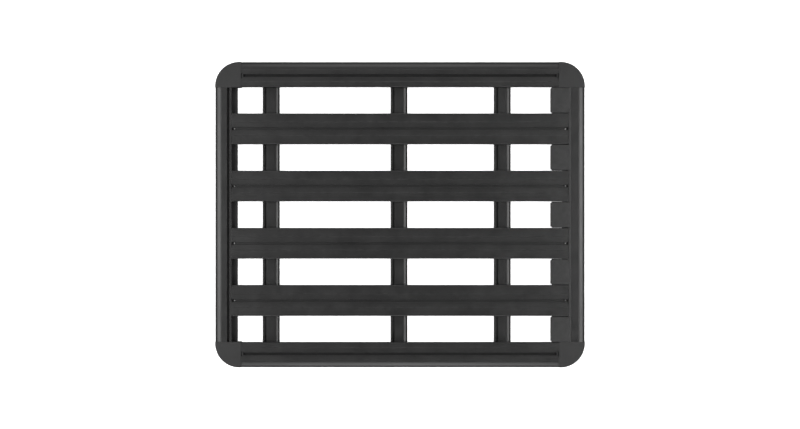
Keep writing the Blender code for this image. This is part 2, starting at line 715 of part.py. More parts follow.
def make_fairing(plastic):
    """A comb-shaped moulding: a spine in the front rail's rebate, and a tab in each deck gap."""
    rail_face = HALF_LENGTH - END_RAIL_TOP_WIDTH
    spine_front = rail_face + FAIRING_SPINE
    tab_back = rail_face - TAB_LENGTH
    half_tab = DECK_GAP / 2 - TAB_SIDE_GAP
    spine_back = rail_face + FIT_GAP
    spine_end = END_JOINT - 2 * FIT_GAP
    corners = [(spine_front, spine_end, 0), (spine_back, spine_end, 0)]
    for y in gap_positions():
        corners += [
            (spine_back, y + half_tab, 0),
            (tab_back, y + half_tab, TAB_CORNER_RADIUS),
            (tab_back, y - half_tab, TAB_CORNER_RADIUS),
            (spine_back, y - half_tab, 0),
        ]
    corners += [(spine_back, -spine_end, 0), (spine_front, -spine_end, 0)]
    plate = extruded_mesh("front_fairing", [rounded(corners)], FAIRING_THICKNESS)
    plate_middle = RAIL_HEIGHT - FAIRING_THICKNESS / 2
    fairing = add_object("front_fairing", plate, plastic, (0, 0, plate_middle))

    skirt_front = rail_face - 2 * FIT_GAP
    outer_loop = tab_skirt_corners(tab_back, skirt_front, half_tab, TAB_SKIRT_STEP)
    inner_loop = tab_skirt_corners(tab_back, skirt_front, half_tab, TAB_SKIRT_STEP + TAB_SKIRT_WALL)
    skirt_mesh = extruded_mesh("tab_skirt", [rounded(outer_loop), rounded(inner_loop)], TAB_SKIRT_DEPTH)
    skirt_middle = RAIL_HEIGHT - FAIRING_THICKNESS / 2 - TAB_SKIRT_DEPTH / 2
    leg_top = plate_middle
    leg_height = leg_top - DECK_UNDERSIDE
    leg_mesh = box_mesh("leg", (LEG_LENGTH, LEG_WIDTH, leg_height))
    for y in gap_positions():
        add_tool(fairing, skirt_mesh, (0, y, skirt_middle), operation="UNION")
        leg_place = (LEDGE_MIDDLE_X, y, leg_top - leg_height / 2)
        add_tool(fairing, leg_mesh, leg_place, operation="UNION")
    lip_height = plate_middle - TAB_SKIRT_DEPTH + TAB_LIP_RISE + TAB_LIP_THICKNESS / 2
    for low, high in tab_lips(tab_back, skirt_front, half_tab):
        size = (high[0] - low[0], high[1] - low[1], TAB_LIP_THICKNESS)
        place = ((low[0] + high[0]) / 2, (low[1] + high[1]) / 2, lip_height)
        add_tool(fairing, box_mesh("tab_lip", size), place, operation="UNION")
    for side in (1, -1):
        place = (LEDGE_MIDDLE_X, side * gap_positions()[0], DECK_UNDERSIDE)
        add_hole(fairing, SMALL_HOLE_RADIUS, 2 * fairing_screw_bite(), place)


def tab_lips(back, front, half):
    """Plan corners of the lips at the foot of each skirt, which close the slits beside the tabs."""
    start = back + TAB_CORNER_RADIUS + TAB_SKIRT_STEP
    corner_face = END_JOINT - TAB_LIP_CLEARANCE
    lips = []
    for y in gap_positions():
        for side in (1, -1):
            root = y + side * (half - TAB_SKIRT_STEP - TAB_SKIRT_WALL / 2)
            reach = y + side * (DECK_GAP / 2 - TAB_LIP_CLEARANCE)
            clipped = max(-corner_face, min(corner_face, reach))
            spans = [(front, clipped)]
            if clipped != reach:
                spans.append((SIDE_JOINT - TAB_LIP_CLEARANCE, reach))
            for end, outer in spans:
                low_y, high_y = sorted((root, outer))
                lips.append(((start, low_y), (end, high_y)))
    return lips


def tab_skirt_corners(back, front, half, inset):
    """Plan outline of the wall below a tab, inset from the tab's own edges."""
    radius = TAB_CORNER_RADIUS - inset
    return [
        (back + inset, half - inset, radius),
        (back + inset, inset - half, radius),
        (front - inset, inset - half, 0),
        (front - inset, half - inset, 0),
    ]


def fairing_screw_bite():
    """Depth of the screw holes in the fairing's outer legs."""
    return PLANK_THICKNESS / 2


def make_crossbars(coat, plastic, steel):
    bar_mesh = extruded_mesh("crossbar", bar_loops(), BAR_LENGTH)
    plate_mesh = extruded_mesh("crossbar_cap", [bar_tail(False) + bar_nose(0)], CAP_THICKNESS)
    edge = CAP_PLUG_CLEARANCE
    plug_low = (BAR_CHAMBER_START + edge, BAR_WALL + edge)
    plug_high = (BAR_CHAMBER_END - edge, BAR_HEIGHT - BAR_WALL - edge)
    plug_depth = CAP_PLUG_LENGTH + FIT_GAP + CAP_THICKNESS / 2
    plug_outline = rounded(rectangle(plug_low, plug_high, SMALL_RADIUS))
    plug_mesh = extruded_mesh("cap_plug", [plug_outline], plug_depth)
    bolt_mesh = make_bolt_mesh()
    nut_mesh = make_nut_mesh()
    upright = facing(TOWARDS_FRONT)
    bolt_x = BAR_SLOT_INSET - BAR_CHORD / 2
    for name, x in BAR_STATIONS.items():
        carriage = bpy.data.objects.new(f"carriage_{name}", None)
        carriage.location = (x, 0, BAR_BOTTOM)
        PARTS.objects.link(carriage)
        trailing = -BAR_CHORD / 2
        bar = add_object(f"crossbar_{name}", bar_mesh, coat, (trailing, 0, 0), upright, carriage)
        for side_name, side in (("left", 1), ("right", -1)):
            cap_middle = side * (BAR_LENGTH / 2 + FIT_GAP + CAP_THICKNESS / 2)
            cap_name = f"crossbar_cap_{name}_{side_name}"
            cap = add_object(cap_name, plate_mesh, plastic, (trailing, cap_middle, 0), upright, carriage)
            plug_place = (trailing, cap_middle - side * plug_depth / 2, 0)
            add_tool(cap, plug_mesh, plug_place, upright, "UNION")
        for number, y in enumerate(plank_positions(), 1):
            hole_place = (bolt_x, y, BAR_HEIGHT / 2)
            add_hole(bar, BOLT_HOLE_RADIUS, BAR_HEIGHT / 2, hole_place)
            bolt_top = DECK_UNDERSIDE + SLOT_LIP + FIT_GAP + BOLT_HEAD_SIZE[2] - BAR_BOTTOM
            add_object(
                f"tbolt_{name}_{number}", bolt_mesh, steel, (bolt_x, y, bolt_top), parent=carriage
            )
            nut_place = (bolt_x, y, BAR_WEB_BOTTOM - FIT_GAP - NUT_THICKNESS / 2)
            add_object(f"nut_{name}_{number}", nut_mesh, steel, nut_place, parent=carriage)


def make_bolt_mesh():
    """T-bolt with its origin at the top of the head; the shank ends just past the nut."""
    head_height = BOLT_HEAD_SIZE[2]
    head_top = DECK_UNDERSIDE + SLOT_LIP + FIT_GAP + head_height
    foot = BAR_BOTTOM + BAR_WALL + FIT_GAP
    length = head_top - head_height / 2 - foot
    shank = bpy.data.objects.new("tbolt", cylinder_mesh("tbolt", BOLT_RADIUS, length))
    shank.data.transform(Matrix.Translation((0, 0, -head_height / 2 - length / 2)))
    bpy.context.scene.collection.objects.link(shank)
    head = bpy.data.objects.new("tbolt_head", box_mesh("tbolt_head", BOLT_HEAD_SIZE))
    head.data.transform(Matrix.Translation((0, 0, -head_height / 2)))
    bpy.context.scene.collection.objects.link(head)
    boolean = shank.modifiers.new("head", "BOOLEAN")
    boolean.operation = "UNION"
    boolean.solver = "EXACT"
    boolean.object = head
    mesh = evaluated_mesh(shank)
    bpy.data.objects.remove(head, do_unlink=True)
    return mesh


def make_nut_mesh():
    bore = [
        Vector((THREAD_HOLE_RADIUS * math.cos(angle), THREAD_HOLE_RADIUS * math.sin(angle)))
        for angle in (2 * math.pi * step / ROUND_SIDES for step in range(ROUND_SIDES))
    ]
    hexagon = [
        Vector((NUT_RADIUS * math.cos(angle), NUT_RADIUS * math.sin(angle)))
        for angle in (math.pi * step / 3 for step in range(6))
    ]
    return extruded_mesh("nut", [hexagon, bore], NUT_THICKNESS)


def screw_mesh(name, shank_radius, length, head):
    """Pan-head screw, head down, with its origin on the bearing face and its shank along +Z."""
    head_radius, head_height = head
    tip = shank_radius / 3
    profile = [
        (0, length),
        (shank_radius - tip, length),
        (shank_radius, length - tip),
        (shank_radius, 0),
        (head_radius, 0),
        (head_radius, -head_height * HEAD_RIM_SHARE),
    ]
    for radius_share, height_share in HEAD_DOME_SHARES:
        profile.append((head_radius * radius_share, -head_height * height_share))
    profile.append((0, -head_height))
    return turned_mesh(name, profile)


def make_screws(steel):
    bearing = LEDGE_UNDERSIDE - FIT_GAP
    reach = PLANK_WEB_MIDDLE + PLANK_WEB / 4 - bearing
    plank_screw = screw_mesh("plank_screw", BOLT_RADIUS, reach, PLANK_SCREW_HEAD)
    for end_name, end in (("front", 1), ("rear", -1)):
        for number, y in enumerate(plank_positions(), 1):
            place = (end * LEDGE_MIDDLE_X, y, bearing)
            add_object(f"plank_screw_{end_name}_{number}", plank_screw, steel, place)

    grip = FIT_GAP + WALL + SPIGOT_CLEARANCE + SPIGOT_WALL
    corner_screw = screw_mesh("corner_screw", SMALL_SCREW_RADIUS, 2 * grip, SMALL_SCREW_HEAD)
    for end_name, end in (("front", 1), ("rear", -1)):
        for side_name, side in (("left", 1), ("right", -1)):
            x = end * (HALF_LENGTH - SKIRT_WIDTH - FIT_GAP)
            place = (x, side * corner_screw_y(), CORNER_SCREW_HEIGHT)
            name = f"corner_screw_{end_name}_{side_name}"
            add_object(name, corner_screw, steel, place, (0, end * math.pi / 2, 0))

    bite = DECK_UNDERSIDE + fairing_screw_bite() - SCREW_TIP_ROOM - bearing
    fairing_screw = screw_mesh("fairing_screw", SMALL_SCREW_RADIUS, bite, SMALL_SCREW_HEAD)
    for side_name, side in (("left", 1), ("right", -1)):
        place = (LEDGE_MIDDLE_X, side * gap_positions()[0], bearing)
        add_object(f"fairing_screw_{side_name}", fairing_screw, steel, place)


clear_scene()
PARTS = new_collection("roof_platform")
CUTTERS = new_collection("cutters")
powder_coat = new_material("powder_coat_black", (0.045, 0.045, 0.046), 0.5, 0.0)
moulding = new_material("moulded_black", (0.060, 0.060, 0.060), 0.6, 0.0)
bright_steel = new_material("zinc_steel", (0.45, 0.45, 0.46), 0.35, 1.0)

make_planks(powder_coat)
make_side_rails(powder_coat)
make_end_rails(powder_coat)
make_corners(moulding)
make_fairing(moulding)
make_crossbars(powder_coat, moulding, bright_steel)
make_screws(bright_steel)
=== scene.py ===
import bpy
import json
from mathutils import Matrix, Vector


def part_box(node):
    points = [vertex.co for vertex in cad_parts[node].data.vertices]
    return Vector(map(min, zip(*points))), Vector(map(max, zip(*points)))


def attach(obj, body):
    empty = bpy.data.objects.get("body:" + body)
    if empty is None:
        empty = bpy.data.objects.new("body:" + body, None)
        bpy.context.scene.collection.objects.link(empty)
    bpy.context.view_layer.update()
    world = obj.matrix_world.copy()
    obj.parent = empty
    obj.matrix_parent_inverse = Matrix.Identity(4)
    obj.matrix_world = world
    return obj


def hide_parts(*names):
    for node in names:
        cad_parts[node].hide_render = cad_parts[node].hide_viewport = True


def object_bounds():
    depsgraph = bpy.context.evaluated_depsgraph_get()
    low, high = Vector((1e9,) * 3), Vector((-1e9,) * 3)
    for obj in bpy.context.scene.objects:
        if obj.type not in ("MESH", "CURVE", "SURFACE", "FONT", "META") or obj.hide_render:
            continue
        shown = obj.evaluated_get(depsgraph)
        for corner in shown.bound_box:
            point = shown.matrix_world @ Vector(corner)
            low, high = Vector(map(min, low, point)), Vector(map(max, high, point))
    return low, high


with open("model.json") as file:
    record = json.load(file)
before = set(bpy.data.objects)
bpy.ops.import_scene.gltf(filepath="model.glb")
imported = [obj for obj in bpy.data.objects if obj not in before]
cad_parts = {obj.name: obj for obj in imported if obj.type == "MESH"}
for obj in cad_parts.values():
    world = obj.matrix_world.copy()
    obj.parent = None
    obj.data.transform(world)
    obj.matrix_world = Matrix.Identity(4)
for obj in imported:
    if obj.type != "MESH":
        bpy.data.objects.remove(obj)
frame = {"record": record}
CAD_BOX = [list(corner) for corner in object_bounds()]

import json
import math

import bmesh
import bpy
from mathutils import Matrix, Vector

# All lengths in metres. Sections use u, inwards or forwards, and v, up.

WALL = 0.0022
FIT_GAP = 0.0003
END_CHAMFER = 0.0003
MOULDED_CHAMFER = 0.0004
LEDGE_RADIUS = 0.001
EDGE_SUPPORT = 0.0006
MICRO_RADIUS = 0.0004
LIP_RADIUS = 0.0005

# Slots and channels
SLOT_OPENING = 0.0115
REAR_SLOT_OPENING = 0.0105
SLOT_WIDTH = 0.021
SLOT_LIP = 0.0025
SLOT_DEPTH = 0.008
CHANNEL_OPENING = 0.010
CHANNEL_WIDTH = 0.020
SLOT_NOTCH_LENGTH = 0.0042

# Planks
PLANK_EDGE_RADIUS = 0.003
PLANK_LOWER_RADIUS = 0.0015
PLANK_RIB_OFFSET = 0.037
PLANK_GROOVE_OFFSET = 0.027

# Shallow grooves rolled along the upper faces
GROOVE_WIDTH = 0.0022
GROOVE_DEPTH = 0.0006

# Perimeter rails
SHOULDER_REACH = 0.028
SHOULDER_RADIUS = 0.0412
SHOULDER_TILT = math.radians(40)
SHOULDER_CREST = SHOULDER_REACH - SHOULDER_RADIUS * math.tan(SHOULDER_TILT / 2)
SHOULDER_DROP = SHOULDER_CREST * math.tan(SHOULDER_TILT)
SHOULDER_EDGE_RADIUS = 0.004
SKIRT_WIDTH = SHOULDER_REACH + WALL
SKIRT_EDGE_RADIUS = 0.0015
SIDE_SLOT_INSET = 0.056
SIDE_GROOVE_OFFSET = 0.026
END_WALL_INSET = 0.067
END_SLOT_INSET = 0.054
LEDGE_THICKNESS = 0.005
CORNER_SCREW_HEIGHT = 0.014
SKIRT_ARC_STEPS = 12

# Corner castings
CORNER_RADIUS = 0.0985
CORNER_WALL = 0.004
CORNER_EDGE_RADIUS = 0.003
CORNER_FOOT_CHAMFER = 0.0006
CORNER_EDGE_STEPS = 8
RIB_THICKNESS = 0.0024
RIB_SHARES = (0.36, 0.68)
RIB_CLEARANCE = 0.006
SPIGOT_LENGTH = 0.028
SPIGOT_WALL = 0.003
SPIGOT_CLEARANCE = 0.0004
SPIGOT_CHAMFER = 0.0005
POCKET_RADIUS = 0.001
TONGUE_LENGTH = 0.0085

# Front fairing
FAIRING_THICKNESS = 0.003
FAIRING_SPINE = 0.0088
FAIRING_CORNER_RADIUS = 0.001
FAIRING_EDGE = 0.0005
TAB_SIDE_GAP = 0.0033
SPINE_CORNER_RADIUS = 0.0003
TAB_CORNER_RADIUS = 0.0055
TAB_SKIRT_DEPTH = 0.012
TAB_SKIRT_WALL = 0.0022
TAB_SKIRT_STEP = 0.0004
TAB_LIP_THICKNESS = 0.002
TAB_LIP_RISE = 0.0005
TAB_LIP_CLEARANCE = 0.0006
LEG_SIZE = (0.017, 0.022)
LEG_RADIUS = 0.0008
LEG_HOLE_START = 0.02
LEG_HOLE_RISE = 0.0125

# Crossbars
BAR_WALL = 0.0022
BAR_NOSE_START = 0.050
BAR_BELLY_END = 0.056
BAR_NOSE_HEIGHT = 0.011
BAR_TAIL_RADIUS = 0.004
BAR_SLOT_INSET = 0.0125
BAR_SLOT_OPENING = 0.0094
BAR_SLOT_WIDTH = 0.016
BAR_SLOT_DEPTH = 0.007
BAR_CHAMBER = (0.023, 0.046)
BAR_CHAMBER_RADIUS = 0.001
CAP_PLUG_LENGTH = 0.012
CAP_PLUG_CLEARANCE = 0.0005
CAP_PLUG_ROOT = 0.0015
CAP_RIM = 0.001
CAP_BACK_CHAMFER = 0.0002

# Fasteners
BOLT_RADIUS = 0.003
BOLT_HEAD_HEIGHT = 0.0045
BOLT_HOLE_RADIUS = BOLT_RADIUS + FIT_GAP
THREAD_HOLE_RADIUS = 0.0032
THREAD_PITCH = 0.001
THREAD_DEPTH = 0.0005
THREAD_STEPS = 4
BOLT_HEAD_RADIUS = 0.0008
NUT_RADIUS = 0.0058
PLANK_SCREW_HEAD = (0.0055, 0.0035)
SMALL_SCREW_RADIUS = 0.0025
SMALL_SCREW_HEAD = (0.005, 0.003)
SMALL_HOLE_RADIUS = 0.0028
HOLE_SIDES = 32
SCREW_SIDES = 24

UP = Vector((0, 0, 1))
SMOOTH_ANGLE = math.radians(35)

RECORD = frame["record"]
BODY_OF = {
    node: body for body, nodes in RECORD["behaviour"]["bodies"].items() for node in nodes
}
LOW, HIGH = (Vector(corner) for corner in CAD_BOX)
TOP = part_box("plank_1")[1].z
DECK_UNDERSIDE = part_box("plank_1")[0].z
LEDGE_TOP = DECK_UNDERSIDE - FIT_GAP
LEDGE_UNDERSIDE = LEDGE_TOP - LEDGE_THICKNESS
SIDE_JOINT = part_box("side_rail_left")[1].x + FIT_GAP
END_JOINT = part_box("end_rail_rear")[1].y + FIT_GAP
SIDE_RAIL_WIDTH = HIGH.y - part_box("side_rail_left")[0].y
LEDGE_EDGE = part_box("end_rail_rear")[1].x - LOW.x
PLANK_YS = [sum(corner.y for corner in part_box(f"plank_{n}")) / 2 for n in range(1, 5)]
GAP_PITCH = PLANK_YS[0] - PLANK_YS[1]
GAP_YS = [PLANK_YS[0] + GAP_PITCH / 2 - index * GAP_PITCH for index in range(5)]
PLANK_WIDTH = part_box("plank_1")[1].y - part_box("plank_1")[0].y
DECK_GAP = GAP_PITCH - PLANK_WIDTH
SCREW_X = sum(corner.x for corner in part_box("plank_screw_front_1")) / 2
CORNER_SCREW_Y = END_JOINT - SPIGOT_LENGTH / 2
BAR_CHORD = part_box("crossbar_mid")[1].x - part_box("crossbar_mid")[0].x
BAR_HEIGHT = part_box("crossbar_mid")[1].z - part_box("crossbar_mid")[0].z
BAR_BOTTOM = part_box("crossbar_mid")[0].z


# Outlines: corners of (u, v, radius) or (u, v, radius, edge) become lists of (point, edge).
# The edge value is 1 in the middle of a small convex round or a groove, 0 on flats and -1 inside
# a slot; the materials use it for wear on rounds, painted highlight in grooves and painted shade in
# slots.
INSIDE = -1.0
WORN_RADIUS_LIMIT = 0.005


def area_sign(corners):
    total = 0
    for index, corner in enumerate(corners):
        before = corners[index - 1]
        total += before[0] * corner[1] - corner[0] * before[1]
    return 1 if total > 0 else -1


def arc_steps(radius):
    if radius > 0.05:
        return 48
    if radius > 0.01:
        return 20
    return 6 if radius > 0.001 else 3


def rounded(corners, supports=True):
    count = len(corners)
    sign = area_sign(corners)
    turns = []
    for index, (u, v, radius, *edge_tone) in enumerate(corners):
        here = Vector((u, v))
        back = Vector(corners[index - 1][:2]) - here
        ahead = Vector(corners[(index + 1) % count][:2]) - here
        half = back.normalized().angle(ahead.normalized()) / 2
        reach = radius / math.tan(half) if radius else 0
        turns.append((here, back, ahead, half, reach, radius, sum(edge_tone)))
    points = []
    for index, (here, back, ahead, half, reach, radius, given) in enumerate(turns):
        if not radius:
            points.append((here, given))
            continue
        back_unit, ahead_unit = back.normalized(), ahead.normalized()
        convex = -back_unit.cross(ahead_unit) * sign > 0
        room_back = back.length - reach - turns[index - 1][4]
        room_ahead = ahead.length - reach - turns[(index + 1) % count][4]
        centre = here + (back_unit + ahead_unit).normalized() * (radius / math.sin(half))
        start = here + back_unit * reach - centre
        end = here + ahead_unit * reach - centre
        turn = math.atan2(start.cross(end), start.dot(end))
        steps = arc_steps(radius)
        if supports and room_back > 3 * EDGE_SUPPORT:
            points.append((here + back_unit * (reach + EDGE_SUPPORT), given))
        for step in range(steps + 1):
            share = step / steps
            small = convex and radius < WORN_RADIUS_LIMIT
            edge_tone = given or (math.sin(math.pi * share) if small else 0.0)
            points.append((centre + Matrix.Rotation(turn * share, 2) @ start, edge_tone))
        if supports and room_ahead > 3 * EDGE_SUPPORT:
            points.append((here + ahead_unit * (reach + EDGE_SUPPORT), given))
    return points


def rectangle(low, high, radius=0.0):
    return [
        (low[0], low[1], radius),
        (low[0], high[1], radius),
        (high[0], high[1], radius),
        (high[0], low[1], radius),
    ]


def slot_corners(centre, face, inwards, opening, width, lip, depth):
    """Corners of a T-slot in order of growing u; inwards is -1 in a top face, 1 in an underside."""
    shoulder = face + inwards * lip
    floor = face + inwards * (lip + depth)
    return [
        (centre - opening / 2, face, LIP_RADIUS),
        (centre - opening / 2, shoulder, MICRO_RADIUS, INSIDE),
        (centre - width / 2, shoulder, MICRO_RADIUS, INSIDE),
        (centre - width / 2, floor, MICRO_RADIUS, INSIDE),
        (centre + width / 2, floor, MICRO_RADIUS, INSIDE),
        (centre + width / 2, shoulder, MICRO_RADIUS, INSIDE),
        (centre + opening / 2, shoulder, MICRO_RADIUS, INSIDE),
        (centre + opening / 2, face, LIP_RADIUS),
    ]


def top_slot(centre, opening=SLOT_OPENING):
    return slot_corners(centre, TOP, -1, opening, SLOT_WIDTH, SLOT_LIP, SLOT_DEPTH)


def channel(centre):
    size = (CHANNEL_OPENING, CHANNEL_WIDTH, SLOT_LIP, SLOT_DEPTH)
    return slot_corners(centre, DECK_UNDERSIDE, 1, *size)[::-1]


def groove(centre):
    """A shallow trough in an upper face, in order of growing u."""
    half, floor = GROOVE_WIDTH / 2, GROOVE_WIDTH / 6
    # The edge values, 0.6 at the rims and 1.0 on the floor, make the coat lighter here: a painted
    # highlight along the groove.
    return [
        (centre - half, TOP, 0, 0.6),
        (centre - floor, TOP - GROOVE_DEPTH, 0, 1.0),
        (centre + floor, TOP - GROOVE_DEPTH, 0, 1.0),
        (centre + half, TOP, 0, 0.6),
    ]


def skirt_chamber(inset=0.0):
    """The chamber under the shoulder, whose upper side follows the shoulder's round."""
    low = WALL + inset
    side = SHOULDER_REACH - inset
    radius = SHOULDER_RADIUS - WALL - inset
    first, last = (math.acos((u - SHOULDER_REACH) / radius) for u in (low, side))
    corners = [(low, low, 0)]
    for step in range(SKIRT_ARC_STEPS + 1):
        angle = first + (last - first) * step / SKIRT_ARC_STEPS
        u = SHOULDER_REACH + radius * math.cos(angle)
        v = TOP - SHOULDER_RADIUS + radius * math.sin(angle)
        corners.append((u, v, 0))
    corners.append((side, low, 0))
    return corners


def skirt_start():
    """Outer side of a rail's skirt, from its foot over the shoulder to the top face."""
    return [
        (0, 0, SKIRT_EDGE_RADIUS),
        (0, TOP - SHOULDER_DROP, SHOULDER_EDGE_RADIUS),
        (SHOULDER_CREST, TOP, SHOULDER_RADIUS),
    ]


def skirt_end(height):
    return [(SKIRT_WIDTH, height, SKIRT_EDGE_RADIUS), (SKIRT_WIDTH, 0, SKIRT_EDGE_RADIUS)]


def side_rail_loops():
    outline = [
        *skirt_start(),
        *groove(SIDE_SLOT_INSET - SIDE_GROOVE_OFFSET + GROOVE_WIDTH / 2),
        *top_slot(SIDE_SLOT_INSET),
        *groove(SIDE_SLOT_INSET + SIDE_GROOVE_OFFSET),
        (SIDE_RAIL_WIDTH, TOP, PLANK_EDGE_RADIUS),
        (SIDE_RAIL_WIDTH, DECK_UNDERSIDE, SKIRT_EDGE_RADIUS),
        *channel(SIDE_SLOT_INSET),
        *skirt_end(DECK_UNDERSIDE),
    ]
    slot_wall = SLOT_WIDTH / 2 + WALL
    low = DECK_UNDERSIDE + WALL
    high = TOP - WALL
    return [
        outline,
        skirt_chamber(),
        rectangle((SKIRT_WIDTH, low), (SIDE_SLOT_INSET - slot_wall, high), MICRO_RADIUS),
        rectangle((SIDE_SLOT_INSET + slot_wall, low), (SIDE_RAIL_WIDTH - WALL, high), MICRO_RADIUS),
    ]


def ledge_corners(wall_top):
    return [
        (END_WALL_INSET, wall_top, LEDGE_RADIUS),
        (END_WALL_INSET, LEDGE_TOP, 0),
        (LEDGE_EDGE, LEDGE_TOP, LEDGE_RADIUS),
        (LEDGE_EDGE, LEDGE_UNDERSIDE, LEDGE_RADIUS),
        *skirt_end(LEDGE_UNDERSIDE),
    ]


def rear_rail_loops():
    low = LEDGE_UNDERSIDE + WALL
    slot_start = END_SLOT_INSET - SLOT_WIDTH / 2
    slot_floor = TOP - SLOT_LIP - SLOT_DEPTH
    return [
        [*skirt_start(), *top_slot(END_SLOT_INSET, REAR_SLOT_OPENING), *ledge_corners(TOP)],
        skirt_chamber(),
        rectangle((SKIRT_WIDTH, low), (slot_start - WALL, TOP - WALL), MICRO_RADIUS),
        rectangle((slot_start, low), (END_WALL_INSET - WALL, slot_floor - WALL), MICRO_RADIUS),
    ]


def front_rail_loops():
    rebate = TOP - FAIRING_THICKNESS - FIT_GAP
    rebate_start = END_WALL_INSET - FAIRING_SPINE - FIT_GAP
    step = [(rebate_start, TOP, MICRO_RADIUS), (rebate_start, rebate, 0)]
    low = LEDGE_UNDERSIDE + WALL
    rib = (SKIRT_WIDTH + END_WALL_INSET) / 2
    return [
        [*skirt_start(), *step, *ledge_corners(rebate)],
        skirt_chamber(),
        rectangle((SKIRT_WIDTH, low), (rib - WALL / 2, TOP - WALL), MICRO_RADIUS),
        rectangle((rib + WALL / 2, low), (END_WALL_INSET - WALL, rebate - WALL), MICRO_RADIUS),
    ]


def plank_loops():
    half = PLANK_WIDTH / 2
    outline = [
        (-half, DECK_UNDERSIDE, PLANK_LOWER_RADIUS),
        (-half, TOP, PLANK_EDGE_RADIUS),
        *groove(-PLANK_GROOVE_OFFSET),
        *top_slot(0),
        *groove(PLANK_GROOVE_OFFSET),
        (half, TOP, PLANK_EDGE_RADIUS),
        (half, DECK_UNDERSIDE, PLANK_LOWER_RADIUS),
        *channel(0),
    ]
    loops = [outline]
    low = DECK_UNDERSIDE + WALL
    high = TOP - WALL
    spans = [
        (SLOT_WIDTH / 2 + WALL, PLANK_RIB_OFFSET - WALL / 2),
        (PLANK_RIB_OFFSET + WALL / 2, half - WALL),
    ]
    for start, end in spans:
        loops.append(rectangle((start, low), (end, high), MICRO_RADIUS))
        loops.append(rectangle((-end, low), (-start, high), MICRO_RADIUS))
    return loops


def quarter_ellipse(centre, reach, start, steps=20):
    points = []
    for step in range(steps + 1):
        angle = math.radians(start - 90 * step / steps)
        place = (centre[0] + reach[0] * math.cos(angle), centre[1] + reach[1] * math.sin(angle))
        points.append((Vector(place), 0.0))
    return points


def bar_nose(inset):
    top = quarter_ellipse(
        (BAR_NOSE_START, BAR_NOSE_HEIGHT),
        (BAR_CHORD - BAR_NOSE_START - inset, BAR_HEIGHT - BAR_NOSE_HEIGHT - inset),
        90,
    )
    belly = quarter_ellipse(
        (BAR_BELLY_END, BAR_NOSE_HEIGHT),
        (BAR_CHORD - BAR_BELLY_END - inset, BAR_NOSE_HEIGHT - inset),
        0,
    )
    return top + belly[1:]


def bar_tail(with_slots):
    low = (0, 0, BAR_TAIL_RADIUS)
    high = (0, BAR_HEIGHT, BAR_TAIL_RADIUS)
    start = (BAR_BELLY_END, 0, 0)
    end = (BAR_NOSE_START, BAR_HEIGHT, 0)
    if not with_slots:
        return rounded([start, low, high, end])[1:-1]
    size = (BAR_SLOT_OPENING, BAR_SLOT_WIDTH, BAR_WALL, BAR_SLOT_DEPTH)
    lower = slot_corners(BAR_SLOT_INSET, 0, 1, *size)[::-1]
    upper = slot_corners(BAR_SLOT_INSET, BAR_HEIGHT, -1, *size)
    return rounded([start, *lower, low, high, *upper, end])[1:-1]


def bar_front_chamber():
    start = BAR_CHAMBER[1] + BAR_WALL
    lower = (Vector((start, BAR_WALL)), 0.0)
    upper = (Vector((start, BAR_HEIGHT - BAR_WALL)), 0.0)
    return [lower, upper, *bar_nose(BAR_WALL)]


# Meshes


def turned_left(loop, outer):
    """The loop in the order that keeps the material on its left."""
    corners = [(point.x, point.y) for point, edge in loop]
    return loop if (area_sign(corners) > 0) == outer else loop[::-1]


def inset_loop(loop, distance):
    """Moves each point of a loop into the material on its left."""
    if distance == 0:
        return [point for point, edge in loop]
    moved = []
    for index, (here, edge) in enumerate(loop):
        along = (here - loop[index - 1][0]).normalized()
        on = (loop[(index + 1) % len(loop)][0] - here).normalized()
        normals = [Vector((-way.y, way.x)) for way in (along, on)]
        middle = (normals[0] + normals[1]).normalized()
        moved.append(here + middle * distance / max(0.5, middle.dot(normals[0])))
    return moved


def swept_mesh(name, loops, stations, matrix):
    """A section drawn along its third axis; a station is (place along it, outline's inset)."""
    loops = [turned_left(loop, index == 0) for index, loop in enumerate(loops)]
    work = bmesh.new()
    layer = work.verts.layers.float.new("edge")
    rings = []
    for place, inset in stations:
        ring = []
        for loop in loops:
            moved = inset_loop(loop, inset)
            verts = [work.verts.new(matrix @ Vector((p.x, p.y, place))) for p in moved]
            for vert, (point, edge) in zip(verts, loop):
                vert[layer] = 0.8 if inset and edge >= 0 else edge
            ring.append(verts)
        rings.append(ring)
    for before, after in zip(rings, rings[1:]):
        for one, two in zip(before, after):
            for index in range(len(one)):
                work.faces.new((one[index - 1], one[index], two[index], two[index - 1]))
    for ring in (rings[0], rings[-1]):
        fill_cap(work, ring)
    bmesh.ops.recalc_face_normals(work, faces=work.faces)
    return finished(work, name)


def fill_cap(work, loops):
    """Closes the end of a section; the loops after the first are holes in it."""
    edges = []
    for loop in loops:
        for index, vert in enumerate(loop):
            edges.append(work.edges.get((loop[index - 1], vert)))
    normal = Vector()
    for index, vert in enumerate(loops[0]):
        normal += loops[0][index - 1].co.cross(vert.co)
    bmesh.ops.triangle_fill(
        work, use_beauty=True, use_dissolve=False, edges=edges, normal=normal.normalized()
    )


def finished(work, name):
    mesh = bpy.data.meshes.new(name)
    work.to_mesh(mesh)
    work.free()
    mesh.shade_smooth()
    mesh.set_sharp_from_angle(angle=SMOOTH_ANGLE)
    return mesh


def chamfered(low, high, size=END_CHAMFER):
    return [(low, size), (low + size, 0), (high - size, 0), (high, size)]


def plain(low, high):
    return [(low, 0), (high, 0)]


def section_matrix(origin, u_axis, along):
    """Puts a section's u, v and length axes on the given directions, with v always up."""
    columns = (Vector(u_axis), UP, Vector(along), Vector(origin))
    matrix = Matrix.Identity(4)
    for index, column in enumerate(columns):
        for row in range(3):
            matrix[row][index] = column[row]
    return matrix


FLAT = Matrix.Identity(4)


def stations_between(low, high, chamfer):
    return chamfered(low, high, chamfer) if chamfer else plain(low, high)


def box_mesh(low, high, radius=0.0):
    outline = rounded(rectangle((low[0], low[1]), (high[0], high[1]), radius), supports=False)
    stations = stations_between(low[2], high[2], min(radius, MOULDED_CHAMFER))
    return swept_mesh("box", [outline], stations, FLAT)


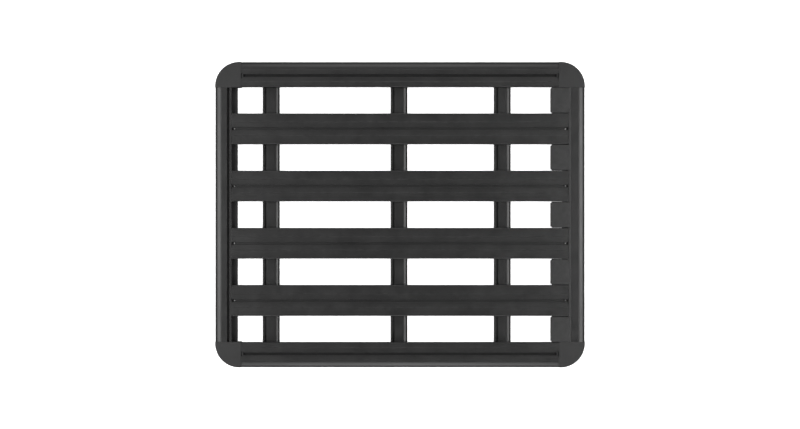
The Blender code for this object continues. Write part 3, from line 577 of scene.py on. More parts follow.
def cylinder_mesh(radius, low, high, centre=(0, 0, 0), turn=Matrix.Identity(4)):
    ring = []
    for step in range(HOLE_SIDES):
        angle = 2 * math.pi * step / HOLE_SIDES
        ring.append((Vector((radius * math.cos(angle), radius * math.sin(angle))), 0.0))
    return swept_mesh("hole", [ring], plain(low, high), Matrix.Translation(centre) @ turn)


def combined(mesh, cuts=(), joins=()):
    """The mesh with some solids joined on, and then others cut out of it."""
    source = bpy.data.objects.new("source", mesh)
    bpy.context.scene.collection.objects.link(source)
    tools = []
    for operation, solids in (("UNION", joins), ("DIFFERENCE", cuts)):
        for solid in solids:
            tool = bpy.data.objects.new("tool", solid)
            bpy.context.scene.collection.objects.link(tool)
            boolean = source.modifiers.new("tool", "BOOLEAN")
            boolean.operation = operation
            boolean.solver = "MANIFOLD"
            boolean.object = tool
            tools.append(tool)
    bpy.context.view_layer.update()
    graph = bpy.context.evaluated_depsgraph_get()
    result = bpy.data.meshes.new_from_object(source.evaluated_get(graph))
    for item in [source, *tools]:
        bpy.data.objects.remove(item, do_unlink=True)
    result.shade_smooth()
    result.set_sharp_from_angle(angle=SMOOTH_ANGLE)
    return result


def lathe_mesh(name, rings, sides=48):
    """Closed solid from rings of (height, radius); a radius may be a function of the angle."""
    work = bmesh.new()
    layer = work.verts.layers.float.new("edge")
    circles = []
    for height, radius in rings:
        circle = []
        for step in range(sides):
            angle = 2 * math.pi * step / sides
            r = radius(angle) if callable(radius) else radius
            circle.append(work.verts.new((r * math.cos(angle), r * math.sin(angle), height)))
        circles.append(circle)
    for one, two in zip(circles, circles[1:]):
        for index in range(sides):
            work.faces.new((one[index - 1], one[index], two[index], two[index - 1]))
    for circle in (circles[0], circles[-1]):
        work.faces.new(circle)
    for vert in work.verts:
        vert[layer] = 0.0
    bmesh.ops.recalc_face_normals(work, faces=work.faces)
    return finished(work, name)


def hexagon(across):
    """Radius, as a function of the angle, of a hexagon of that width across its flats."""
    def radius(angle):
        turn = angle % (math.pi / 3) - math.pi / 6
        return across / 2 / math.cos(turn)
    return radius


def capped_hexagon(across, limit):
    plain_radius = hexagon(across)
    return lambda angle: min(plain_radius(angle), limit)


def thread_rings(radius, low, high):
    """Rings of a screw thread, each one turned on from the last by a share of the pitch."""
    count = int(THREAD_STEPS * (high - low) / THREAD_PITCH)
    rings = []
    for index in range(count + 1):
        height = low + (high - low) * index / count

        def ridge(angle, height=height):
            phase = (height / THREAD_PITCH - angle / (2 * math.pi)) % 1
            fade = min(1, (height - low) / THREAD_PITCH, (high - height) / THREAD_PITCH)
            return radius - THREAD_DEPTH * abs(2 * phase - 1) * max(0, fade)

        rings.append((height, ridge))
    return rings


# Looks


class Nodes:
    """Adds shader nodes to a material and links them."""

    def __init__(self, name):
        self.material = bpy.data.materials.new(name)
        self.material.use_nodes = True
        self.tree = self.material.node_tree
        self.shader = self.tree.nodes["Principled BSDF"]
        self.place = self.add("ShaderNodeTexCoord").outputs["Object"]

    def add(self, kind, **values):
        node = self.tree.nodes.new(kind)
        for key, value in values.items():
            if key in node.inputs:
                node.inputs[key].default_value = value
            else:
                setattr(node, key, value)
        return node

    def link(self, output, target):
        self.tree.links.new(output, target)

    def noise(self, scale, detail=2.0, stretch=(1, 1, 1), roughness=0.5):
        mapping = self.add("ShaderNodeMapping", Scale=stretch)
        self.link(self.place, mapping.inputs["Vector"])
        noise = self.add("ShaderNodeTexNoise", Scale=scale, Detail=detail, Roughness=roughness)
        self.link(mapping.outputs["Vector"], noise.inputs["Vector"])
        return noise.outputs["Fac"]

    def spread(self, value, low, high, start=0.3, end=0.7):
        """Maps a value from start..end to low..high."""
        node = self.add("ShaderNodeMapRange")
        node.inputs["From Min"].default_value = start
        node.inputs["From Max"].default_value = end
        node.inputs["To Min"].default_value = low
        node.inputs["To Max"].default_value = high
        self.link(value, node.inputs["Value"])
        return node.outputs["Result"]

    def blend(self, factor, first, second):
        node = self.add("ShaderNodeMix", data_type="RGBA")
        node.inputs["A"].default_value = (*first, 1.0) if isinstance(first, tuple) else (0, 0, 0, 1)
        node.inputs["B"].default_value = (*second, 1.0)
        if not isinstance(first, tuple):
            self.link(first, node.inputs["A"])
        self.link(factor, node.inputs["Factor"])
        return node.outputs["Result"]

    def maths(self, operation, first, second):
        node = self.add("ShaderNodeMath", operation=operation)
        for socket, value in zip(node.inputs, (first, second)):
            if isinstance(value, (int, float)):
                socket.default_value = value
            else:
                self.link(value, socket)
        return node.outputs["Value"]

    def bump(self, height, strength, distance, under=None):
        node = self.add("ShaderNodeBump", Strength=strength, Distance=distance)
        self.link(height, node.inputs["Height"])
        if under:
            self.link(under, node.inputs["Normal"])
        return node.outputs["Normal"]

    def edge(self):
        node = self.add("ShaderNodeAttribute", attribute_name="edge")
        return node.outputs["Fac"]


def grey(value):
    return (value, value, value)


def powder_coat(name, along, dark=0.0074, light=0.0096, edge_tone=0.026):
    """Fine-texture black powder coat on an extrusion whose length runs along the axis `along`."""
    nodes = Nodes(name)
    stretch = tuple(0.012 if axis == along else 1.0 for axis in range(3))
    cloud = nodes.noise(14, 4.0)
    lines = nodes.noise(700, 2.0, stretch)
    grain = nodes.noise(1500, 2.0)
    orange_peel = nodes.noise(420, 1.0)
    tone = nodes.blend(nodes.spread(cloud, 0, 1), grey(dark), grey(light))
    speckle = nodes.maths("MULTIPLY", nodes.spread(grain, 0, 1, 0.58, 0.75), 0.5)
    tone = nodes.blend(speckle, tone, grey(light * 1.5))
    patches = nodes.spread(nodes.noise(45, 3.0), 0.15, 0.8)
    # The edge value lightens the coat: wear on small convex rounds and cut ends, and a painted
    # highlight along the grooves.
    wear_and_sheen = nodes.maths("MULTIPLY", nodes.edge(), patches)
    tone = nodes.blend(wear_and_sheen, tone, grey(edge_tone))
    # Painted shade: inside the slots, where the edge value is -1, the coat is darkened towards a
    # quarter of its dark tone.
    inside = nodes.spread(nodes.edge(), 1.0, 0.0, -1.0, 0.0)
    tone = nodes.blend(inside, tone, grey(dark / 4))
    nodes.shader.inputs["Specular IOR Level"].default_value = 0.40
    nodes.link(tone, nodes.shader.inputs["Base Color"])
    dulled = nodes.maths("MULTIPLY", inside, 0.4)
    rough = nodes.maths("ADD", nodes.spread(cloud, 0.34, 0.41), dulled)
    rough = nodes.maths("ADD", rough, nodes.spread(grain, -0.04, 0.06))
    rough = nodes.maths("SUBTRACT", rough, nodes.maths("MULTIPLY", wear_and_sheen, 0.10))
    nodes.link(rough, nodes.shader.inputs["Roughness"])
    normal = nodes.bump(lines, 0.10, 0.0002)
    normal = nodes.bump(orange_peel, 0.18, 0.0004, normal)
    normal = nodes.bump(grain, 0.30, 0.0002, normal)
    nodes.link(normal, nodes.shader.inputs["Normal"])
    return nodes.material


def moulded(name, dark=0.0128, light=0.0158, edge_tone=0.028):
    """Grained black moulding, a little greyer than the coated extrusions."""
    nodes = Nodes(name)
    nodes.shader.inputs["Specular IOR Level"].default_value = 0.32
    cloud = nodes.noise(22, 3.0)
    cells = nodes.add("ShaderNodeTexVoronoi", Scale=950.0, feature="SMOOTH_F1")
    nodes.link(nodes.place, cells.inputs["Vector"])
    grain = nodes.noise(2200, 2.0)
    tone = nodes.blend(nodes.spread(cloud, 0, 1), grey(dark), grey(light))
    pits = nodes.spread(cells.outputs["Distance"], 0.25, 0.0, 0.0, 0.35)
    tone = nodes.blend(pits, tone, grey(dark * 0.6))
    wear_and_sheen = nodes.maths("MULTIPLY", nodes.edge(), nodes.spread(nodes.noise(60, 3.0), 0.1, 0.7))
    tone = nodes.blend(wear_and_sheen, tone, grey(edge_tone))
    nodes.link(tone, nodes.shader.inputs["Base Color"])
    rough = nodes.maths("ADD", nodes.spread(cloud, 0.52, 0.60), nodes.spread(grain, -0.04, 0.05))
    nodes.link(rough, nodes.shader.inputs["Roughness"])
    normal = nodes.bump(cells.outputs["Distance"], 0.25, 0.0003)
    normal = nodes.bump(grain, 0.20, 0.0002, normal)
    nodes.link(normal, nodes.shader.inputs["Normal"])
    return nodes.material


def zinc_plate(name):
    """Satin zinc-plated steel with fine turning marks."""
    nodes = Nodes(name)
    nodes.shader.inputs["Metallic"].default_value = 1.0
    cloud = nodes.noise(160, 4.0)
    marks = nodes.noise(2600, 2.0, (0.2, 0.2, 1.0))
    tone = nodes.blend(nodes.spread(cloud, 0, 1), (0.36, 0.36, 0.37), (0.50, 0.50, 0.49))
    nodes.link(tone, nodes.shader.inputs["Base Color"])
    rough = nodes.maths("ADD", nodes.spread(cloud, 0.30, 0.42), nodes.spread(marks, -0.04, 0.06))
    nodes.link(rough, nodes.shader.inputs["Roughness"])
    nodes.link(nodes.bump(marks, 0.15, 0.0001), nodes.shader.inputs["Normal"])
    return nodes.material


# Pieces


def show(node, mesh, material, place=None):
    """Stands a finished mesh in for a CAD node."""
    piece = bpy.data.objects.new(f"{node}_fine", mesh)
    bpy.context.scene.collection.objects.link(piece)
    mesh.materials.clear()
    mesh.materials.append(material)
    if place is not None:
        piece.matrix_world = place
    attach(piece, BODY_OF[node])
    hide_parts(node)


def outlines(loops):
    return [rounded(loop) for loop in loops]


def make_planks(coat):
    for number, y in enumerate(PLANK_YS, 1):
        node = f"plank_{number}"
        low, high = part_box(node)
        matrix = section_matrix((0, y, 0), (0, 1, 0), (1, 0, 0))
        mesh = swept_mesh(node, outlines(plank_loops()), chamfered(low.x, high.x), matrix)
        floor = DECK_UNDERSIDE + SLOT_LIP
        holes = [
            cylinder_mesh(THREAD_HOLE_RADIUS, floor, TOP - SLOT_LIP, (x, y, 0))
            for x in (SCREW_X, -SCREW_X)
        ]
        show(node, combined(mesh, cuts=holes), coat)


def make_side_rails(coat):
    for name, side in (("left", 1), ("right", -1)):
        node = f"side_rail_{name}"
        low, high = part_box(node)
        matrix = section_matrix((0, side * HIGH.y, 0), (0, -side, 0), (1, 0, 0))
        mesh = swept_mesh(node, outlines(side_rail_loops()), chamfered(low.x, high.x), matrix)
        slot_y = side * (HIGH.y - SIDE_SLOT_INSET)
        notches = []
        for end in (low.x, high.x):
            reach = Vector((SLOT_NOTCH_LENGTH, SLOT_WIDTH / 2, SLOT_LIP))
            centre = Vector((end, slot_y, TOP))
            notches.append(box_mesh(centre - reach, centre + reach))
        show(node, combined(mesh, cuts=notches), coat)


def make_end_rails(coat):
    across = Matrix.Rotation(math.pi / 2, 4, "Y")
    for name, end, loops in (("front", 1, front_rail_loops()), ("rear", -1, rear_rail_loops())):
        node = f"end_rail_{name}"
        low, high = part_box(node)
        matrix = section_matrix((end * HIGH.x, 0, 0), (-end, 0, 0), (0, 1, 0))
        mesh = swept_mesh(node, outlines(loops), chamfered(low.y, high.y), matrix)
        span = (LEDGE_UNDERSIDE - LEDGE_THICKNESS, LEDGE_TOP + LEDGE_THICKNESS)
        holes = [cylinder_mesh(BOLT_HOLE_RADIUS, *span, (end * SCREW_X, y, 0)) for y in PLANK_YS]
        for side in (1, -1):
            place = (end * (HIGH.x - SKIRT_WIDTH), side * CORNER_SCREW_Y, CORNER_SCREW_HEIGHT)
            holes.append(cylinder_mesh(SMALL_HOLE_RADIUS, -2 * WALL, 2 * WALL, place, across))
            if name == "front":
                place = (SCREW_X, side * GAP_YS[0], 0)
                holes.append(cylinder_mesh(SMALL_HOLE_RADIUS, *span, place))
        show(node, combined(mesh, cuts=holes), coat)


def corner_plan(end, side, inset_joint, inset_outer):
    """Plan of a corner casting, inset by one distance at its joints and another outside."""
    inner_x = SIDE_JOINT + inset_joint
    inner_y = END_JOINT + inset_joint
    outer_x = HIGH.x - inset_outer
    outer_y = HIGH.y - inset_outer
    corners = [
        (inner_x, inner_y, 0),
        (inner_x, outer_y, 0),
        (outer_x, outer_y, CORNER_RADIUS - inset_outer),
        (outer_x, inner_y, 0),
    ]
    plan = rounded(corners, supports=False)
    return [(Vector((end * point.x, side * point.y)), edge) for point, edge in plan]


def corner_shell(end, side):
    """The casting's outer form: upright walls under a flat top, with a soft edge on the outside."""
    plan = corner_plan(end, side, 0, 0)
    last = len(plan) - 1
    work = bmesh.new()
    layer = work.verts.layers.float.new("edge")
    centre = Vector((end * (HIGH.x - CORNER_RADIUS), side * (HIGH.y - CORNER_RADIUS)))
    pulls = []
    for index, (point, edge) in enumerate(plan):
        if index == 0:
            pulls.append(Vector((0, 0)))
        elif index == 1:
            pulls.append(Vector((0, -side)))
        elif index == last:
            pulls.append(Vector((-end, 0)))
        else:
            pulls.append((centre - point).normalized())
    foot = CORNER_FOOT_CHAMFER
    stations = [(0, foot, 0.5), (foot, 0, 0.3), (SKIRT_EDGE_RADIUS, 0, 0)]
    for step in range(CORNER_EDGE_STEPS + 1):
        angle = math.pi / 2 * step / CORNER_EDGE_STEPS
        inset = CORNER_EDGE_RADIUS * (1 - math.cos(angle))
        height = TOP - CORNER_EDGE_RADIUS * (1 - math.sin(angle))
        stations.append((height, inset, math.sin(2 * angle)))
    rings = []
    for height, inset, edge_tone in stations:
        ring = []
        for (point, edge), pull in zip(plan, pulls):
            moved = point + pull * inset
            vert = work.verts.new((moved.x, moved.y, height))
            vert[layer] = edge_tone if pull.length else 0.0
            ring.append(vert)
        rings.append(ring)
    for one, two in zip(rings, rings[1:]):
        for index in range(len(one)):
            corners = (one[index - 1], one[index], two[index], two[index - 1])
            work.faces.new(corners)
    for ring in (rings[0], rings[-1]):
        fill_cap(work, [ring])
    bmesh.ops.recalc_face_normals(work, faces=work.faces)
    return finished(work, "corner")


def upright_prism(plan, low, high):
    return swept_mesh("prism", [plan], plain(low, high), FLAT)


def make_corner(node, end, side, plastic):
    below = -2 * CORNER_WALL
    walls = corner_plan(end, side, CORNER_WALL, CORNER_WALL)
    hollow = upright_prism(walls, below, TOP - CORNER_WALL)
    skirt = corner_plan(end, side, -CORNER_WALL, SKIRT_WIDTH)
    inboard = upright_prism(skirt, below, LEDGE_UNDERSIDE)
    opened = combined(corner_shell(end, side), cuts=[hollow, inboard])

    root = CORNER_WALL / 2
    along_side = section_matrix((0, side * HIGH.y, 0), (0, -side, 0), (1, 0, 0))
    along_end = section_matrix((end * HIGH.x, 0, 0), (-end, 0, 0), (0, 1, 0))
    spigot_outline = rounded(skirt_chamber(SPIGOT_CLEARANCE))
    inset = SPIGOT_CLEARANCE + SPIGOT_WALL
    pocket_low = (WALL + inset, WALL + inset)
    pocket_high = (SHOULDER_REACH - inset, TOP - SHOULDER_REACH)
    pocket_outline = rounded(rectangle(pocket_low, pocket_high, POCKET_RADIUS), supports=False)

    def bar_into(outline, near, far, chamfer=0.0):
        """The outline drawn into both rails, from near inside each joint to far beyond it."""
        bars = []
        for joint, way, matrix in ((SIDE_JOINT, end, along_side), (END_JOINT, side, along_end)):
            low, high = sorted((way * (joint + near), way * (joint - far)))
            bars.append(swept_mesh("bar", [outline], stations_between(low, high, chamfer), matrix))
        return bars

    spigots = bar_into(spigot_outline, root, SPIGOT_LENGTH, SPIGOT_CHAMFER)
    pockets = bar_into(pocket_outline, -SPIGOT_WALL, SPIGOT_LENGTH + SPIGOT_WALL)

    slot_y = side * (HIGH.y - SIDE_SLOT_INSET)
    cavity_top = TOP - SLOT_LIP
    low_x, high_x = sorted((end * (SIDE_JOINT - TONGUE_LENGTH), end * (SIDE_JOINT + root)))
    half = SLOT_WIDTH / 2 - FIT_GAP
    tongue = box_mesh(
        (low_x, slot_y - half, cavity_top - SLOT_DEPTH + FIT_GAP),
        (high_x, slot_y + half, cavity_top - SLOT_DEPTH / 2),
        MOULDED_CHAMFER,
    )
    tip_near = SIDE_JOINT - SLOT_NOTCH_LENGTH - FIT_GAP
    low_x, high_x = sorted((end * (SIDE_JOINT - TONGUE_LENGTH), end * tip_near))
    half = SLOT_OPENING / 2 - FIT_GAP
    tip = box_mesh(
        (low_x, slot_y - half, cavity_top - 3 * SLOT_DEPTH / 4),
        (high_x, slot_y + half, TOP - 2 * FIT_GAP),
        MOULDED_CHAMFER,
    )
    place = (end * (HIGH.x - SHOULDER_REACH), side * CORNER_SCREW_Y, CORNER_SCREW_HEIGHT)
    across = Matrix.Rotation(math.pi / 2, 4, "Y")
    hole = cylinder_mesh(SMALL_HOLE_RADIUS, -2 * SPIGOT_WALL, 2 * SPIGOT_WALL, place, across)
    joins = [*spigots, tongue, tip, *corner_ribs(end, side)]
    show(node, combined(opened, cuts=[*pockets, hole], joins=joins), plastic)


def corner_ribs(end, side):
    """Two thin stiffening ribs under the flat top."""
    ribs = []
    overlap = CORNER_WALL / 2
    for share in RIB_SHARES:
        x = end * (SIDE_JOINT + share * (HIGH.x - SIDE_JOINT - SKIRT_WIDTH))
        low_y, high_y = sorted((side * (END_JOINT + overlap), side * (HIGH.y - SKIRT_WIDTH)))
        low = (x - RIB_THICKNESS / 2, low_y, LEDGE_UNDERSIDE + RIB_CLEARANCE)
        ribs.append(box_mesh(low, (x + RIB_THICKNESS / 2, high_y, TOP - overlap)))
    return ribs


def make_corners(plastic):
    for end_name, end in (("front", 1), ("rear", -1)):
        for side_name, side in (("left", 1), ("right", -1)):
            make_corner(f"corner_{end_name}_{side_name}", end, side, plastic)


def make_fairing(plastic):
    low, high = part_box("front_fairing")
    rail_face = HIGH.x - END_WALL_INSET
    tab_back = low.x
    half_tab = DECK_GAP / 2 - TAB_SIDE_GAP
    spine_back = rail_face + FIT_GAP
    corners = [
        (high.x, high.y, FAIRING_CORNER_RADIUS),
        (spine_back, high.y, SPINE_CORNER_RADIUS),
    ]
    for y in GAP_YS:
        corners += [
            (spine_back, y + half_tab, SPINE_CORNER_RADIUS),
            (tab_back, y + half_tab, TAB_CORNER_RADIUS),
            (tab_back, y - half_tab, TAB_CORNER_RADIUS),
            (spine_back, y - half_tab, SPINE_CORNER_RADIUS),
        ]
    corners += [
        (spine_back, low.y, SPINE_CORNER_RADIUS),
        (high.x, low.y, FAIRING_CORNER_RADIUS),
    ]
    edge = FAIRING_EDGE
    under = TOP - FAIRING_THICKNESS
    stations = [(under, 0), (TOP - edge, 0), (TOP - 0.3 * edge, 0.3 * edge), (TOP, edge)]
    plate = swept_mesh("fairing", [rounded(corners)], stations, FLAT)

    skirt_front = rail_face - 2 * FIT_GAP
    middle = TOP - FAIRING_THICKNESS / 2

    def tab_loop(y, inset):
        radius = TAB_CORNER_RADIUS - inset
        return rounded([
            (tab_back + inset, y + half_tab - inset, radius),
            (tab_back + inset, y - half_tab + inset, radius),
            (skirt_front - inset, y - half_tab + inset, 0),
            (skirt_front - inset, y + half_tab - inset, 0),
        ])

    joins = []
    for y in GAP_YS:
        loops = [tab_loop(y, TAB_SKIRT_STEP), tab_loop(y, TAB_SKIRT_STEP + TAB_SKIRT_WALL)]
        joins.append(swept_mesh("skirt", loops, plain(middle - TAB_SKIRT_DEPTH, middle), FLAT))
        half_x, half_y = LEG_SIZE[0] / 2, LEG_SIZE[1] / 2
        leg_low = (SCREW_X - half_x, y - half_y, DECK_UNDERSIDE)
        joins.append(box_mesh(leg_low, (SCREW_X + half_x, y + half_y, middle), LEG_RADIUS))
    lip_low = middle - TAB_SKIRT_DEPTH + TAB_LIP_RISE
    for near, far in tab_lips(tab_back, skirt_front, half_tab):
        joins.append(box_mesh((*near, lip_low), (*far, lip_low + TAB_LIP_THICKNESS)))
    span = (LEG_HOLE_START, DECK_UNDERSIDE + LEG_HOLE_RISE)
    holes = [
        cylinder_mesh(SMALL_HOLE_RADIUS, *span, (SCREW_X, y, 0)) for y in (GAP_YS[0], GAP_YS[-1])
    ]
    show("front_fairing", combined(plate, cuts=holes, joins=joins), plastic)


def tab_lips(back, front, half):
    """Plan corners of the lips at the foot of each skirt, which close the slits beside the tabs.

    An outermost tab lies beside a corner casting, so its lip is in two parts there.
    """
    start = back + TAB_CORNER_RADIUS + TAB_SKIRT_STEP
    corner_face = END_JOINT - TAB_LIP_CLEARANCE
    lips = []
    for y in GAP_YS:
        for side in (1, -1):
            root = y + side * (half - TAB_SKIRT_STEP - TAB_SKIRT_WALL / 2)
            reach = y + side * (DECK_GAP / 2 - TAB_LIP_CLEARANCE)
            clipped = max(-corner_face, min(corner_face, reach))
            spans = [(front, clipped)]
            if clipped != reach:
                spans.append((SIDE_JOINT - TAB_LIP_CLEARANCE, reach))
            for end, outer in spans:
                low_y, high_y = sorted((root, outer))
                lips.append(((start, low_y), (end, high_y)))
    return lips


def make_crossbars(coat, plastic):
    chamber_low = (BAR_CHAMBER[0], BAR_WALL)
    chamber_high = (BAR_CHAMBER[1], BAR_HEIGHT - BAR_WALL)
    chamber = rectangle(chamber_low, chamber_high, BAR_CHAMBER_RADIUS)
    bar_loops = [bar_tail(True) + bar_nose(0), rounded(chamber), bar_front_chamber()]
    cap_loop = bar_tail(False) + bar_nose(0)
    for name in ("rear", "mid", "front"):
        low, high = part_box(f"crossbar_{name}")
        matrix = section_matrix((low.x, 0, BAR_BOTTOM), (1, 0, 0), (0, 1, 0))
        bar = swept_mesh("bar", bar_loops, chamfered(low.y, high.y), matrix)
        bolt_x = low.x + BAR_SLOT_INSET
        span = (BAR_BOTTOM + BAR_HEIGHT / 4, BAR_BOTTOM + 3 * BAR_HEIGHT / 4)
        holes = [cylinder_mesh(BOLT_HOLE_RADIUS, *span, (bolt_x, y, 0)) for y in PLANK_YS]
        show(f"crossbar_{name}", combined(bar, cuts=holes), coat)
        for side_name, side in (("left", 1), ("right", -1)):
            make_cap(f"crossbar_cap_{name}_{side_name}", side, cap_loop, matrix, plastic)


def make_cap(node, side, loop, matrix, plastic):
    """An end cap with a domed rim, and the plug that fills the bar's middle chamber."""
    low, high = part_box(node)
    outer, plug_end = (high.y, low.y) if side > 0 else (low.y, high.y)
    inner = plug_end + side * CAP_PLUG_LENGTH
    rim = CAP_RIM
    stations = [
        (inner, CAP_BACK_CHAMFER),
        (inner + side * CAP_BACK_CHAMFER, 0),
        (outer - side * rim, 0),
        (outer - side * 0.6 * rim, 0.08 * rim),
        (outer - side * 0.25 * rim, 0.35 * rim),
        (outer, rim),
    ]
    plate = swept_mesh("cap", [loop], stations, matrix)
    gap = CAP_PLUG_CLEARANCE
    plug_low = (BAR_CHAMBER[0] + gap, BAR_WALL + gap)
    plug_high = (BAR_CHAMBER[1] - gap, BAR_HEIGHT - BAR_WALL - gap)
    plug_loop = rounded(rectangle(plug_low, plug_high, BAR_CHAMBER_RADIUS))
    start, end = sorted((plug_end, outer - side * CAP_PLUG_ROOT))
    size = MOULDED_CHAMFER
    at_start, at_end = (size, 0) if side > 0 else (0, size)
    stations = [(start, at_start), (start + size, 0), (end - size, 0), (end, at_end)]
    plug = swept_mesh("plug", [plug_loop], stations, matrix)
    show(node, combined(plate, joins=[plug]), plastic)


def tbolt_mesh(head_size, length):
    """T-bolt with its origin at the top of the head and its threaded shank downwards."""
    half_x, half_y = head_size[0] / 2, head_size[1] / 2
    head = box_mesh((-half_x, -half_y, -head_size[2]), (half_x, half_y, 0), BOLT_HEAD_RADIUS)
    tip = 0.0006
    thread_top = -head_size[2] - 0.0015
    rings = [
        (-length, BOLT_RADIUS - tip),
        (-length + tip, BOLT_RADIUS),
        *thread_rings(BOLT_RADIUS, -length + tip + 0.0001, thread_top),
        (thread_top + 0.0001, BOLT_RADIUS),
        (-head_size[2] / 2, BOLT_RADIUS),
    ]
    shank = lathe_mesh("shank", rings, SCREW_SIDES)
    return combined(head, joins=[shank])


def nut_mesh(thickness):
    """Hexagon nut with chamfered corners on both faces and a countersunk thread."""
    across = 2 * NUT_RADIUS * math.cos(math.pi / 6)
    face = across / 2 * 0.96
    half = thickness / 2
    outer = []
    for drop in (0.0, 0.0003, 0.0006, 0.0009, 0.0012):
        outer.append((-half + drop * 0.58, capped_hexagon(across, face + drop)))
    rings = outer + [(-height, radius) for height, radius in outer[::-1]]
    body = lathe_mesh("nut", rings, 72)
    bore_rings = [
        (-half - 0.001, THREAD_HOLE_RADIUS + 0.0014),
        (-half + 0.0004, THREAD_HOLE_RADIUS),
        (half - 0.0004, THREAD_HOLE_RADIUS),
        (half + 0.001, THREAD_HOLE_RADIUS + 0.0014),
    ]
    return combined(body, cuts=[lathe_mesh("bore", bore_rings, 32)])


def screw_mesh(shank_radius, head_radius, head_height, length):
    """Button-head socket screw, head down, with its origin on the bearing face."""
    socket = hexagon(head_radius * 0.85)
    socket_floor = -head_height * 0.4
    rings = [
        (socket_floor, 0.0002),
        (socket_floor, socket),
        (-head_height + 0.00015, socket),
        (-head_height, head_radius * 0.52),
    ]
    dome_steps = 6
    for step in range(dome_steps + 1):
        bulge = math.sin(math.pi / 2 * step / dome_steps)
        height = head_height * 0.55 * bulge - head_height
        rings.append((height, head_radius * (0.58 + 0.42 * bulge)))
    rings += [(-0.0002, head_radius), (0, head_radius - 0.0002), (0, shank_radius)]
    tip = shank_radius / 3
    rings += thread_rings(shank_radius, 0.0012, length - tip)
    rings.append((length, shank_radius - tip))
    return lathe_mesh("screw", rings, SCREW_SIDES)


def make_fasteners(steel):
    low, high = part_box("tbolt_mid_1")
    head = (high.x - low.x, high.y - low.y, BOLT_HEAD_HEIGHT)
    bolt = tbolt_mesh(head, high.z - low.z)
    low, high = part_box("nut_mid_1")
    nut = nut_mesh(high.z - low.z)
    for name in ("rear", "mid", "front"):
        for number in range(1, 5):
            low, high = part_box(f"tbolt_{name}_{number}")
            middle = (low + high) / 2
            top = Matrix.Translation((middle.x, middle.y, high.z))
            show(f"tbolt_{name}_{number}", bolt, steel, top)
            low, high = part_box(f"nut_{name}_{number}")
            show(f"nut_{name}_{number}", nut, steel, Matrix.Translation((low + high) / 2))

    low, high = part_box("plank_screw_front_1")
    head_height = PLANK_SCREW_HEAD[1]
    plank_screw = screw_mesh(BOLT_RADIUS, *PLANK_SCREW_HEAD, high.z - low.z - head_height)
    for end_name in ("front", "rear"):
        for number in range(1, 5):
            node = f"plank_screw_{end_name}_{number}"
            low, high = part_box(node)
            middle = (low + high) / 2
            place = Matrix.Translation((middle.x, middle.y, low.z + head_height))
            show(node, plank_screw, steel, place)

    low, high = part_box("corner_screw_front_left")
    head_height = SMALL_SCREW_HEAD[1]
    length = high.x - low.x - head_height
    corner_screw = screw_mesh(SMALL_SCREW_RADIUS, *SMALL_SCREW_HEAD, length)
    for end_name, end in (("front", 1), ("rear", -1)):
        for side_name in ("left", "right"):
            node = f"corner_screw_{end_name}_{side_name}"
            low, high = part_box(node)
            middle = (low + high) / 2
            bearing = low.x + head_height if end > 0 else high.x - head_height
            turn = Matrix.Rotation(end * math.pi / 2, 4, "Y")
            place = Matrix.Translation((bearing, middle.y, middle.z)) @ turn
            show(node, corner_screw, steel, place)

    low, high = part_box("fairing_screw_left")
    length = high.z - low.z - head_height
    fairing_screw = screw_mesh(SMALL_SCREW_RADIUS, *SMALL_SCREW_HEAD, length)
    for side_name in ("left", "right"):
        node = f"fairing_screw_{side_name}"
        low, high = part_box(node)
        middle = (low + high) / 2
        place = Matrix.Translation((middle.x, middle.y, low.z + head_height))
        show(node, fairing_screw, steel, place)


# Studio

FLOOR_HALF_SIZE = 60.0
FLOOR_GAP = 0.0005
CAMERA_PLACE = (0, 0.0007, TOP + 4.502)


def add_area_light(name, place, target, size, power):
    light = bpy.data.lights.new(name, "AREA")
    light.shape = "RECTANGLE"
    light.size, light.size_y = size
    light.energy = power
    item = bpy.data.objects.new(name, light)
    item.location = place
    way = Vector(target) - Vector(place)
    item.rotation_euler = way.to_track_quat("-Z", "Y").to_euler()
    bpy.context.scene.collection.objects.link(item)


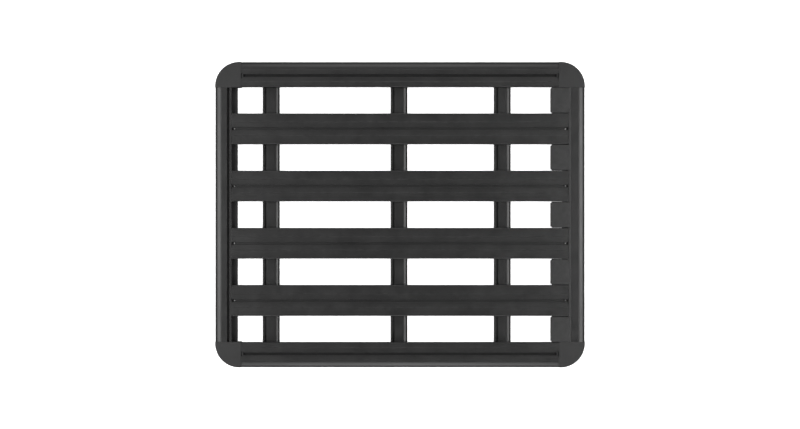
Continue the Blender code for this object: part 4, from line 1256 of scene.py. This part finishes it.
def make_floor():
    """A plain white floor that lights nothing and is seen by the camera only."""
    work = bmesh.new()
    bmesh.ops.create_grid(work, x_segments=1, y_segments=1, size=FLOOR_HALF_SIZE)
    floor = bpy.data.objects.new("studio_floor", finished(work, "studio_floor"))
    floor.location.z = LOW.z - FLOOR_GAP
    bpy.context.scene.collection.objects.link(floor)
    material = bpy.data.materials.new("studio_white")
    material.use_nodes = True
    shader = material.node_tree.nodes["Principled BSDF"]
    shader.inputs["Base Color"].default_value = (0.8, 0.8, 0.8, 1)
    shader.inputs["Roughness"].default_value = 0.9
    shader.inputs["Specular IOR Level"].default_value = 0.0
    shader.inputs["Emission Color"].default_value = (1, 1, 1, 1)
    shader.inputs["Emission Strength"].default_value = 0.93
    floor.data.materials.append(material)
    floor.visible_diffuse = False
    floor.visible_glossy = False


def make_studio():
    scene = bpy.context.scene
    scene.view_settings.view_transform = "Standard"
    scene.view_settings.look = "None"
    world = bpy.data.worlds.new("studio")
    world.use_nodes = True
    background = world.node_tree.nodes["Background"]
    background.inputs["Color"].default_value = (1, 1, 1, 1)
    background.inputs["Strength"].default_value = 0.03
    scene.world = world
    make_floor()
    add_area_light("left", (-4.0, 0, 3.9), (0, 0, 0), (3.0, 3.6), 262)
    add_area_light("right", (4.0, 0, 3.9), (0, 0, 0), (3.0, 3.6), 262)
    add_area_light("near", (0, -4.3, 3.2), (0, 0, 0), (3.0, 3.4), 166)
    add_area_light("far", (0, 4.2, 3.5), (0, 0.2, 0), (3.0, 3.2), 95)
    add_area_light("overhead", (0, 2.6, 6.0), (0, 0.2, 0), (4.0, 3.0), 14)

    camera = bpy.data.cameras.new("camera")
    camera.lens = 50
    camera.sensor_width = 36
    item = bpy.data.objects.new("camera", camera)
    item.location = CAMERA_PLACE
    scene.collection.objects.link(item)
    scene.camera = item


coat_along_x = powder_coat("powder_coat_lengthwise", 0)
coat_along_y = powder_coat("powder_coat_crosswise", 1)
plastic = moulded("moulded_black_grained")
steel = zinc_plate("zinc_plated_steel")

make_planks(coat_along_x)
make_side_rails(coat_along_x)
make_end_rails(coat_along_y)
make_corners(plastic)
make_fairing(plastic)
make_crossbars(coat_along_y, plastic)
make_fasteners(steel)
make_studio()

bpy.context.view_layer.update()
